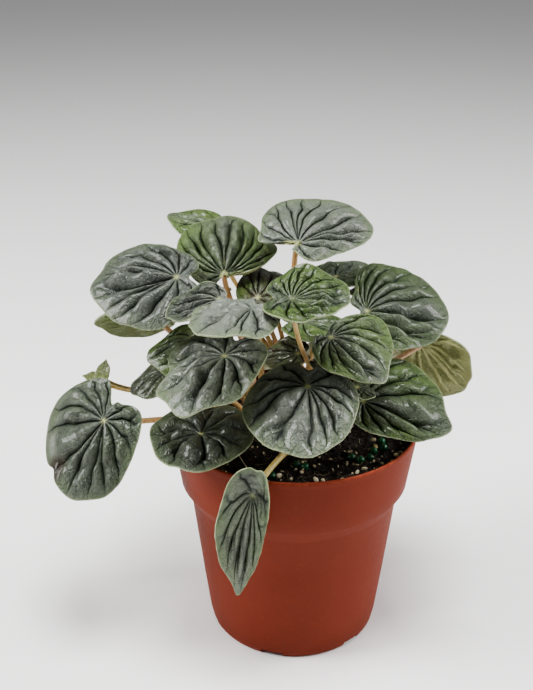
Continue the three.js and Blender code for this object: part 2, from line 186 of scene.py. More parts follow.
def noiseOf(tree, vector, scale, detail, roughness=0.5):
    return addNode(tree, "TexNoise", {"Vector": vector, "Scale": scale, "Detail": detail,
                                      "Roughness": roughness}).outputs


# A value moved up and down by a noise round 0.5.
def disturb(tree, value, noise, amount, clamp=False):
    return calculate(tree, "MULTIPLY_ADD", calculate(tree, "SUBTRACT", noise, 0.5), amount, value, clamp)


# A start value plus each part times its weight.
def addParts(tree, start, parts):
    for part, weight in parts:
        start = calculate(tree, "MULTIPLY_ADD", part, weight, start)
    return start


# Colours laid over a first one, each where its mask says, and no more than its share if it has one.
def layColours(tree, colour, layers):
    for over, mask, *share in layers:
        if share:
            mask = calculate(tree, "MULTIPLY", mask, share[0])
        colour = mixColour(tree, mask, colour, over)
    return colour


# A new material with its node tree, its shader and the object coordinates.
def newMaterial(name):
    made = bpy.data.materials.new(name)
    made.use_nodes = True
    tree = made.node_tree
    tree.nodes.clear()
    shader = addNode(tree, "BsdfPrincipled")
    addNode(tree, "OutputMaterial", {0: shader.outputs[0]})
    return made, tree, shader, addNode(tree, "TexCoord").outputs["Object"]


# The last step of a material: its bump is a strength, a distance in metres and a height.
def feedShader(tree, shader, colour, roughness, bump, others=None):
    normal = addNode(tree, "Bump", dict(zip(("Strength", "Distance", "Height"), bump))).outputs[0]
    fillNode(tree, shader, {"Base Color": colour, "Roughness": roughness, "Normal": normal, **(others or {})})


# A node group that makes one value out of a vector and some settings with their usual values.
def newGroup(name, settings, output):
    tree = bpy.data.node_groups.new(name, "ShaderNodeTree")
    tree.interface.new_socket(name="Vector", in_out="INPUT", socket_type="NodeSocketVector")
    for title, value in settings.items():
        socket = tree.interface.new_socket(name=title, in_out="INPUT", socket_type="NodeSocketFloat")
        socket.default_value = value
    tree.interface.new_socket(name=output, in_out="OUTPUT", socket_type="NodeSocketFloat")
    return tree, tree.nodes.new("NodeGroupInput").outputs, tree.nodes.new("NodeGroupOutput").inputs[0]


# The group's value, with its vector and its settings given in their order.
def useGroup(tree, group, *values):
    return addNode(tree, "Group", dict(enumerate(values)), node_tree=group).outputs[0]


# Noise with its contrast raised or lowered round 0.5.
def makeMottleGroup():
    tree, given, result = newGroup("Mottle", {"Scale": 80.0, "Contrast": 1.0}, "Value")
    noise = noiseOf(tree, given["Vector"], given["Scale"], 4.0, 0.6)[0]
    raised = calculate(tree, "SUBTRACT", noise, 0.5)
    tree.links.new(calculate(tree, "MULTIPLY_ADD", raised, given["Contrast"], 0.5, clamp=True), result)
    return tree


# Small round specks scattered over a surface: 1 on a speck, 0 between; only a share of the cells has one.
def makeSpeckGroup():
    tree, given, result = newGroup("Specks", {"Scale": 400.0, "Size": 0.2, "Share": 0.2}, "Mask")
    cells = addNode(tree, "TexVoronoi", {"Vector": given["Vector"], "Scale": given["Scale"]}).outputs
    near = calculate(tree, "LESS_THAN", cells["Distance"], given["Size"])
    chance = addNode(tree, "SeparateColor", {0: cells["Color"]}).outputs[0]
    chosen = calculate(tree, "LESS_THAN", chance, given["Share"])
    tree.links.new(calculate(tree, "MULTIPLY", near, chosen), result)
    return tree


# Fine grain as a height: noise at one scale with a coarser swell under it.
def makeGrainGroup():
    tree, given, result = newGroup("Fine grain", {"Scale": 1500.0, "Swell": 0.3}, "Height")
    fine = noiseOf(tree, given["Vector"], given["Scale"], 3.0)[0]
    coarser = calculate(tree, "MULTIPLY", given["Scale"], 0.12)
    broad = noiseOf(tree, given["Vector"], coarser, 2.0)[0]
    tree.links.new(calculate(tree, "MULTIPLY_ADD", broad, given["Swell"], fine), result)
    return tree


# Net of fine lines between warped cells: 1 on a line, 0 inside a cell.
def makeNetGroup():
    tree, given, result = newGroup("Vein net", {"Scale": 12.0, "Line": 0.05}, "Mask")
    drift = noiseOf(tree, given["Vector"], 9.0, 2.0)["Color"]
    centred = addNode(tree, "VectorMath", {0: drift, 1: (0.5, 0.5, 0.5)}, operation="SUBTRACT").outputs[0]
    scaled = addNode(tree, "VectorMath", {0: centred, "Scale": 0.09}, operation="SCALE").outputs[0]
    warped = addNode(tree, "VectorMath", {0: given["Vector"], 1: scaled}, operation="ADD").outputs[0]
    cells = addNode(tree, "TexVoronoi", {"Vector": warped, "Scale": given["Scale"]}, feature="DISTANCE_TO_EDGE")
    tree.links.new(mapTo(tree, cells.outputs["Distance"], 0.0, given["Line"], 1.0, 0.0), result)
    return tree


mottle = makeMottleGroup()
veinNet = makeNetGroup()
specks = makeSpeckGroup()
grain = makeGrainGroup()

bladeLook = {
    # the shade colours of silver and fresh: the dark green of the hollows, with painted shade in it
    "silver": (0.118, 0.134, 0.110, 1), "silverHollowPaintedShade": (0.012, 0.018, 0.013, 1),
    "fresh": (0.085, 0.138, 0.026, 1), "freshHollowPaintedShade": (0.012, 0.026, 0.005, 1),
    # vein: near-black, painted shade in the grooves of the sunken veins
    "warm": (0.052, 0.026, 0.014, 1), "vein": (0.004, 0.008, 0.005, 1),
    "margin": (0.320, 0.370, 0.210, 1), "joint": (0.430, 0.450, 0.180, 1),
    "under": (0.315, 0.330, 0.140, 1), "underVein": (0.560, 0.560, 0.290, 1),
    # patterns: scale, then contrast, width of line or swell
    "broad": (110.0, 1.6), "small": (620.0, 1.8), "wideNet": (12.0, 0.05), "fineNet": (34.0, 0.12),
    "pebble": (1500.0, 0.9),
    # how much of the dark colour, painted shade, the veins and both nets have; roughness; strength and distance
    # of the bump
    "veinPaintedShadeShare": 0.85, "wideShare": 0.34, "fineShare": 0.14, "roughness": 0.38, "bump": (0.7, 0.0009),
    "shader": {"Coat Weight": 0.32, "Coat Roughness": 0.16, "Subsurface Weight": 0.06,
               "Subsurface Radius": (0.0012, 0.0016, 0.0005)},
}


def makeBladeMaterial():
    look = bladeLook
    made, tree, shader, place = newMaterial("peperomiaBlade")
    flat = addNode(tree, "UVMap", uv_map="leafMap").outputs[0]
    relief, vein, margin, silver, fresh, warm, joint, under = (maskFrom(tree, name) for name in (
        "relief", "vein", "margin", "silver", "fresh", "warm", "joint", "under"))
    broad, small = (useGroup(tree, mottle, place, *look[key]) for key in ("broad", "small"))
    wideNet, fineNet = (useGroup(tree, veinNet, flat, *look[key]) for key in ("wideNet", "fineNet"))

    # silvery on the puffed ribs, dark green with painted shade in the hollows and the sunken veins, greener
    # where a leaf is young or near its margin
    freshHere = disturb(tree, fresh, broad, 0.35, clamp=True)
    high = mixColour(tree, freshHere, look["silver"], look["fresh"])
    # a silver value above 1 brightens the ribs past the silver colour: partly a painted highlight
    lift = calculate(tree, "MAXIMUM", silver, 1.0)
    high = addNode(tree, "VectorMath", {0: high, "Scale": lift}, operation="SCALE").outputs[0]
    # the colour of the hollows between the ribs: their dark green with painted shade; both nets of small veins
    # take it too
    low = mixColour(tree, freshHere, look["silverHollowPaintedShade"], look["freshHollowPaintedShade"])
    rise = disturb(tree, disturb(tree, relief, small, 0.3), broad, 0.35, clamp=True)
    rise = calculate(tree, "MULTIPLY", rise, silver, clamp=True)
    top = layColours(tree, mixColour(tree, rise, low, high), [
        (low, wideNet, look["wideShare"]), (low, fineNet, look["fineShare"]), (look["warm"], warm),
        # the veins are laid near-black: painted shade in their grooves
        (look["vein"], vein, look["veinPaintedShadeShare"]), (look["joint"], joint)])
    below = layColours(tree, look["under"], [
        (look["underVein"], vein, 0.8), (look["fresh"], small, 0.35),
        (look["fresh"], mapTo(tree, silver, 0.0, 1.0, 0.75, 0.0))])
    colour = layColours(tree, top, [(below, under), (look["margin"], margin)])

    # satin skin, duller in the veins and on the underside, pebbled and crossed by the net of small veins
    rough = mapTo(tree, small, 0.25, 0.75, look["roughness"] - 0.06, look["roughness"] + 0.08)
    rough = addParts(tree, rough, [(vein, 0.12), (under, 0.12)])
    pebble = useGroup(tree, grain, place, *look["pebble"])
    height = addParts(tree, 0.0, [(pebble, 0.8), (fineNet, -0.3), (wideNet, -0.5)])
    shine = mapTo(tree, vein, 0.0, 0.8, 0.5, 0.08)
    feedShader(tree, shader, colour, rough, (*look["bump"], height),
               {"Specular IOR Level": shine, **look["shader"]})
    return made


stalkLook = {
    "tan": (0.560, 0.330, 0.130, 1), "pink": (0.640, 0.390, 0.270, 1), "green": (0.420, 0.430, 0.160, 1),
    "root": (0.200, 0.120, 0.060, 1), "fleckDark": (0.72, 0.70, 0.66, 1), "fleckLight": (1.12, 1.10, 1.08, 1),
    "fleck": (900.0, 2.0), "skin": (1500.0, 0.6), "drawn": (1.0, 1.0, 0.15), "bump": (0.35, 0.0004),
    "shader": {"Subsurface Weight": 0.12, "Subsurface Radius": (0.002, 0.0012, 0.0006)},
}


def makeStalkMaterial():
    look = stalkLook
    made, tree, shader, place = newMaterial("peperomiaStalk")
    streak = addNode(tree, "Mapping", {"Vector": place, "Scale": look["drawn"]}).outputs[0]
    fleck = useGroup(tree, mottle, streak, *look["fleck"])
    foot = mapTo(tree, maskFrom(tree, "along"), 0.0, 0.16, 0.85, 0.0)
    colour = layColours(tree, look["tan"], [(look["pink"], maskFrom(tree, "pink")),
                                            (look["green"], maskFrom(tree, "green")), (look["root"], foot)])
    shade = mixColour(tree, mapTo(tree, fleck, 0.2, 0.8), look["fleckDark"], look["fleckLight"])
    colour = mixColour(tree, 1.0, colour, shade, "MULTIPLY")
    height = useGroup(tree, grain, streak, *look["skin"])
    rough = mapTo(tree, fleck, 0.2, 0.8, 0.36, 0.5)
    feedShader(tree, shader, colour, rough, (*look["bump"], height), look["shader"])
    return made


potLook = {
    "clay": (0.170, 0.0320, 0.0160, 1), "deep": (0.142, 0.0255, 0.0125, 1), "pale": (0.280, 0.066, 0.036, 1),
    "dust": (0.420, 0.240, 0.160, 1), "soil": (0.060, 0.030, 0.020, 1), "roughness": 0.58, "specular": 0.1,
    # scale and contrast; scale, size and share of the specks; then the skin, the mould's rings and the bump
    "broad": (26.0, 1.4), "fine": (420.0, 1.2),
    "dustSpecks": (150.0, 0.09, 0.05), "soilSpecks": (260.0, 0.13, 0.06),
    "skin": (2200.0, 0.5), "rings": 900.0, "drawn": (0.02, 0.02, 1.0), "bump": (0.18, 0.0002),
    "lip": (0.0972, 0.0990), "foot": (0.0030, 0.0),    # between which heights the edges are worn
}


def makePotMaterial():
    look = potLook
    made, tree, shader, place = newMaterial("terracottaPlastic")
    level = addNode(tree, "SeparateXYZ", {0: place}).outputs[2]
    broad, fine = (useGroup(tree, mottle, place, *look[key]) for key in ("broad", "fine"))
    # the moulded lip and the lowest edge have rubbed paler
    lip, foot = mapTo(tree, level, *look["lip"]), mapTo(tree, level, *look["foot"], 0.0, 0.8)
    patches = mapTo(tree, fine, 0.35, 0.65, 0.2, 0.75)
    worn = calculate(tree, "MULTIPLY", calculate(tree, "MAXIMUM", lip, foot), patches)
    # dried splash specks and crumbs of mix
    dust, dirt = (useGroup(tree, specks, place, *look[key]) for key in ("dustSpecks", "soilSpecks"))
    colour = layColours(tree, look["deep"], [
        (look["clay"], broad), (look["pale"], mapTo(tree, fine, 0.55, 0.9, 0.0, 0.25)), (look["pale"], worn),
        (look["dust"], dust, 0.55), (look["soil"], dirt, 0.6)])
    rough = mapTo(tree, fine, 0.2, 0.8, look["roughness"] - 0.05, look["roughness"] + 0.07)
    # faint rings left by the mould and a fine skin
    flattened = addNode(tree, "Mapping", {"Vector": place, "Scale": look["drawn"]}).outputs[0]
    rings, skin = noiseOf(tree, flattened, look["rings"], 2.0)[0], useGroup(tree, grain, place, *look["skin"])
    height = addParts(tree, skin, [(rings, 0.5), (dust, 0.8)])
    feedShader(tree, shader, colour, addParts(tree, rough, [(dust, 0.25)]), (*look["bump"], height),
               {"Specular IOR Level": look["specular"]})
    return made


mixLook = {
    "dark": (0.0045, 0.0038, 0.0032, 1), "brown": (0.028, 0.018, 0.012, 1), "grit": (0.16, 0.12, 0.08, 1),
    "chipShade": (0.34, 0.24, 0.12, 1), "chipWhite": (0.78, 0.70, 0.52, 1),
    "fibre": (0.36, 0.29, 0.20, 1), "fibreDark": (0.05, 0.032, 0.02, 1),
    "bead": (0.006, 0.12, 0.044, 1), "beadDark": (0.003, 0.036, 0.014, 1),
    "clod": (260.0, 2.2), "fine": (1400.0, 2.4), "gritSpecks": (900.0, 0.25, 0.09), "bump": (0.9, 0.0012),
}


def makeSoilMaterial():
    look = mixLook
    made, tree, shader, place = newMaterial("pottingMix")
    clod, fine = (useGroup(tree, mottle, place, *look[key]) for key in ("clod", "fine"))
    pale = useGroup(tree, specks, place, *look["gritSpecks"])
    crumbly = mapTo(tree, fine, 0.55, 0.95, 0.0, 0.6)
    colour = layColours(tree, look["dark"], [(look["brown"], clod), (look["brown"], crumbly),
                                             (look["grit"], pale, 0.8)])
    height = addParts(tree, clod, [(fine, 0.6)])
    feedShader(tree, shader, colour, mapTo(tree, clod, 0.2, 0.8, 0.95, 0.7), (*look["bump"], height))
    return made


# Chips, crumbs, fibres and beads share one build: two tones mixed by the mask "tone" and a mottle.
def makeBitMaterial(name, shade, light, roughness, scale):
    made, tree, shader, place = newMaterial(name)
    spots = useGroup(tree, mottle, place, scale, 2.0)
    tone = addParts(tree, 0.0, [(maskFrom(tree, "tone"), 0.75), (spots, 0.5)])
    colour = mixColour(tree, calculate(tree, "SUBTRACT", tone, 0.1, clamp=True), shade, light)
    rough = mapTo(tree, spots, 0.2, 0.8, roughness - 0.1, roughness + 0.1)
    feedShader(tree, shader, colour, rough, (0.6, 0.0003, spots))
    return made


bladeMaterial = makeBladeMaterial()
stalkMaterial = makeStalkMaterial()
potMaterial = makePotMaterial()
soilMaterial = makeSoilMaterial()
crumbMaterial = makeBitMaterial("darkCrumb", mixLook["dark"], mixLook["brown"], 0.85, 900.0)
chipMaterial = makeBitMaterial("paleChip", mixLook["chipShade"], mixLook["chipWhite"], 0.75, 1100.0)
fibreMaterial = makeBitMaterial("rootFibre", mixLook["fibreDark"], mixLook["fibre"], 0.8, 500.0)
beadMaterial = makeBitMaterial("coatedBead", mixLook["beadDark"], mixLook["bead"], 0.28, 700.0)
print("materials ready")


pot = {
    "sides": 192, "sharpFrom": 35,
    # radius and height: outside from the middle of the base up, inside from the lip down to the floor
    "outside": [(0, 0), (20, 0), (36.2, 0), (36.75, 0.7), (37.3, 1.6), (37.75, 3.6), (38.5, 7), (40.83, 25),
                (43.3, 45), (45.8, 65.7), (46.6, 67.2), (48.6, 70.7), (49.3, 71.9), (49.65, 72.45), (50, 73),
                (50.9, 79), (52.3, 88), (53.5, 95.6), (53.62, 96.6), (53.95, 97.3), (54, 98), (53.8, 98.7),
                (53.35, 99)],
    "inside": [(52.85, 98.95), (52.62, 98.5), (51.6, 90), (48.6, 73), (44.4, 65.7), (37.1, 7), (34.8, 3.4),
               (0, 3.4)],
    "notches": 6, "firstNotch": -104, "notchSize": (10.0, 9.5, 4.8), "footRadius": 37.2,
}


# The pot: its profile turned about Z, less a block at each drainage notch of the foot.
def makePot():
    piece = makePiece("pottedPot", potMaterial, *turnedSurface(pot["outside"] + pot["inside"], pot["sides"]))
    block = np.array([(x, y, z) for z in (-1, 1) for y in (-1, 1) for x in (-1, 1)]) / 2.0 * pot["notchSize"]
    block[:, 0] += pot["footRadius"]
    quads = np.array([(0, 2, 3, 1), (4, 5, 7, 6), (0, 1, 5, 4), (2, 6, 7, 3), (0, 4, 6, 2), (1, 3, 7, 5)])
    cutters = []
    for i in range(pot["notches"]):
        turned = block @ turnOf((pot["firstNotch"] + 360 / pot["notches"] * i, 0, 0)).T
        cutters.append(makePiece("notch", potMaterial, turned, [quads]))
        cut = piece.modifiers.new("notch", "BOOLEAN")
        cut.object, cut.operation, cut.solver = cutters[-1], "DIFFERENCE", "EXACT"
    mesh = bpy.data.meshes.new_from_object(piece.evaluated_get(bpy.context.evaluated_depsgraph_get()))
    piece.modifiers.clear()
    piece.data = mesh
    for cutter in cutters:
        bpy.data.objects.remove(cutter)
    setSmooth(mesh, True)
    mesh.set_sharp_from_angle(angle=math.radians(pot["sharpFrom"]))
    return piece


potPiece = makePot()
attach(potPiece, "root")
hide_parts("pot")
print("pot ready")


mix = {
    "top": 93.5, "relief": 0.55, "radius": 51.6, "rings": 110, "sides": 300, "roughness": 0.55,
    "skirt": [(51.6, 89.0), (48.0, 72.7), (43.8, 65.7), (36.5, 7.3), (33.9, 3.7)],    # radius and height
    "crumbs": 1500, "chips": 340, "fibres": 110, "reach": 49.5, "fibreReach": 47.0,
}
# chips listed one by one that show between the leaves and the rim: x, y, size
placedChips = [(35, -13, 1.7), (-6, -40, 1.3), (-1, -41, 1.1), (18, -45, 1.3), (29, -33, 1.2), (26, -36, 1),
               (-19, -36, 1.2), (-15, -40, 1.6), (9, -42, 1.5), (12, -41.5, 1.2), (43, -22, 1.4),
               (45, -19, 1.1), (41, -26, 1), (34, -8, 1.3), (22, -29, 1.2), (-10, -45, 1), (5, -46, 1),
               (16, -33, 1)]
# one long pale hair lies clear of the mix at the front left
longHair = {"sides": 6, "radius": 0.2, "path": [
    (-24.2, -26.6, 98.2), (-23.3, -28, 97.8), (-22.2, -30.2, 97.1), (-21, -32.4, 96.2), (-19.4, -34.8, 95.2),
    (-18.6, -36, 94.6)]}
fibre = {"sides": 4, "steps": 9, "length": (3, 10), "curl": 0.25, "lift": 1.6, "clear": 0.25,
         "radius": (0.09, 0.2), "within": 50}


# Level of the mix: low swells crossed by a finer crumble, as in the solid, plus a rough random field.
def mixHeight(x, y, rough=0.0):
    swell = np.sin(0.21 * x + 1.3) * np.cos(0.17 * y - 0.4)
    crumble = np.sin(0.83 * x + 0.31 * y) * np.sin(0.71 * y - 0.44 * x)
    level = mix["top"] + mix["relief"] * (0.5 * swell + 0.5 * crumble)
    if rough:
        level = level + rough * waveField(np.stack([x, y], axis=-1), seed=5, waves=40, finest=0.9, coarsest=9.0)
    return level


# The mix: rings at its rough level, which crowd towards the rim, and a skirt of rings down the pot's inside.
def makeMix():
    share = (np.arange(1, mix["rings"] + 1) / mix["rings"])[:, None] ** 0.8
    top = ringPoints(mix["radius"] * share, 0, mix["sides"])
    top[..., 2] = mixHeight(top[..., 0], top[..., 1], mix["roughness"])
    skirt = np.array(mix["skirt"])
    rings = np.concatenate([top, ringPoints(skirt[:, :1], skirt[:, 1:], mix["sides"])])
    points = closedPoints(rings, (0, 0, mixHeight(0, 0)), (0, 0, skirt[-1, 1]))
    return makePiece("pottingMix", soilMaterial, points, closedFaces(len(rings), mix["sides"]))


# Matrices of evenly spread random turns, each from a unit quaternion.
def randomTurns(random, count):
    q = random.normal(size=(count, 4))
    w, x, y, z = (q / np.linalg.norm(q, axis=1, keepdims=True)).T
    rows = [1 - 2 * (y * y + z * z), 2 * (x * y - z * w), 2 * (x * z + y * w),
            2 * (x * y + z * w), 1 - 2 * (x * x + z * z), 2 * (y * z - x * w),
            2 * (x * z - y * w), 2 * (y * z + x * w), 1 - 2 * (x * x + y * y)]
    return np.stack(rows, axis=1).reshape(-1, 3, 3)


# Rough lumps: a twenty-faced ball, each copy pulled out of round, flattened, turned and set on the mix at
# x and y, its middle higher by a share of its size.
def makeLumps(name, finish, random, x, y, sizes, lift, flatten):
    g = (1 + 5 ** 0.5) / 2
    ball = np.array([(-1, g, 0), (1, g, 0), (-1, -g, 0), (1, -g, 0), (0, -1, g), (0, 1, g),
                     (0, -1, -g), (0, 1, -g), (g, 0, -1), (g, 0, 1), (-g, 0, -1), (-g, 0, 1)]) / 1.9
    sides = np.array([(0, 11, 5), (0, 5, 1), (0, 1, 7), (0, 7, 10), (0, 10, 11), (1, 5, 9), (5, 11, 4),
                      (11, 10, 2), (10, 7, 6), (7, 1, 8), (3, 9, 4), (3, 4, 2), (3, 2, 6), (3, 6, 8),
                      (3, 8, 9), (4, 9, 5), (2, 4, 11), (6, 2, 10), (8, 6, 7), (9, 8, 1)])
    count, corners = len(x), len(ball)
    centres = np.stack([x, y, mixHeight(x, y, mix["roughness"]) + lift * sizes], axis=-1)
    stretch = random.uniform(0.65, 1.25, (count, 1, 3)) * np.array([1.0, 1.0, flatten])
    lumps = ball[None] * random.uniform(0.8, 1.15, (count, corners, 1)) * stretch * sizes[:, None, None]
    lumps = np.einsum("nij,nkj->nki", randomTurns(random, count), lumps) + centres[:, None]
    faces = (sides[None] + corners * np.arange(count)[:, None, None]).reshape(-1, 3)
    tone = np.repeat(random.uniform(0, 1, count), corners)
    piece = makePiece(name, finish, lumps.reshape(-1, 3), [faces], {"tone": tone})
    setSmooth(piece.data, False)
    return piece


# Random places spread evenly over a disc, as x and y.
def scatterOnMix(random, count, reach):
    radius = reach * np.sqrt(random.uniform(0, 1, count))
    angle = random.uniform(0, 2 * np.pi, count)
    return radius * np.cos(angle), radius * np.sin(angle)


# Fibres: thin tubes along short random arcs that lie on the mix and lift a little at one end.
def makeFibres(random):
    parts = []
    for x, y in zip(*scatterOnMix(random, mix["fibres"], mix["fibreReach"])):
        length = random.uniform(*fibre["length"])
        heading, curl = random.uniform(0, 2 * np.pi), random.normal(0, fibre["curl"])
        s = np.linspace(0, 1, fibre["steps"])
        turn = heading + curl * s * length
        px = x + np.cumsum(np.cos(turn)) * length / fibre["steps"]
        py = y + np.cumsum(np.sin(turn)) * length / fibre["steps"]
        inward = np.minimum(1, fibre["within"] / np.hypot(px, py))
        px, py = px * inward, py * inward
        lift = random.uniform(0, fibre["lift"]) * s ** 2 + fibre["clear"]
        path = np.stack([px, py, mixHeight(px, py, mix["roughness"]) + lift], axis=-1)
        points, faces = tubeOf(path, random.uniform(*fibre["radius"]) * (1 - 0.5 * s), fibre["sides"])
        parts.append((points, faces, {"tone": np.full(len(points), random.uniform(0, 1))}))
    return makePiece("rootFibres", fibreMaterial, *joinParts(parts))


mixPiece = makeMix()
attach(mixPiece, "root")
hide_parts("soil")

bitRandom = np.random.default_rng(11)
x, y = scatterOnMix(bitRandom, mix["crumbs"], mix["reach"])
sizes = bitRandom.uniform(0.35, 1.0, mix["crumbs"]) ** 1.3
crumbs = makeLumps("darkCrumbs", crumbMaterial, bitRandom, x, y, sizes, 0.25, 0.8)
x, y = scatterOnMix(bitRandom, mix["chips"], mix["reach"])
sizes = bitRandom.uniform(0.3, 0.95, mix["chips"])
x, y, sizes = np.concatenate([np.stack([x, y, sizes]), np.array(placedChips).T], axis=1)
chips = makeLumps("paleChips", chipMaterial, bitRandom, x, y, sizes, 0.35, 0.6)
fibres = makeFibres(bitRandom)
hairPath = np.array(longHair["path"])
points, faces = tubeOf(hairPath, np.full(len(hairPath), longHair["radius"]), longHair["sides"])
hair = makePiece("paleHair", chipMaterial, points, faces, {"tone": np.ones(len(points))})
for piece in (crumbs, chips, fibres, hair):
    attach(piece, "root")

bead = {
    "radius": 1.7, "sides": 28, "rings": 14, "rest": 0.86,
    "at": [(1, -32), (4.5, -34), (-9, -40.5), (24, -25), (27.7, -27), (31.5, -25), (33.5, -19), (37.5, -11),
           (38, -16)],
}


# A bead: a ball of rings, slightly out of round, r = radius (1 + 0.035 waves), resting on the mix.
def makeBead(index, x, y):
    polar = np.linspace(0, np.pi, bead["rings"] + 2)[1:-1, None]
    unit = closedPoints(ringPoints(np.sin(polar), np.cos(polar), bead["sides"]), (0, 0, 1), (0, 0, -1))
    dents = 1 + 0.035 * waveField(unit * 5, seed=40 + index, waves=12, finest=2.5, coarsest=9.0)
    centre = np.array([x, y, mixHeight(x, y) + bead["radius"] * bead["rest"]])
    points = centre + bead["radius"] * dents[:, None] * unit
    return makePiece(f"fertiliserBead{index}", beadMaterial, points, closedFaces(bead["rings"], bead["sides"]),
                     {"tone": np.full(len(unit), (0.37 * index) % 1.0)})


for index, (x, y) in enumerate(bead["at"], 1):
    piece = makeBead(index, x, y)
    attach(piece, "root")
    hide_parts(f"bead_{index}")
print("potting mix ready")


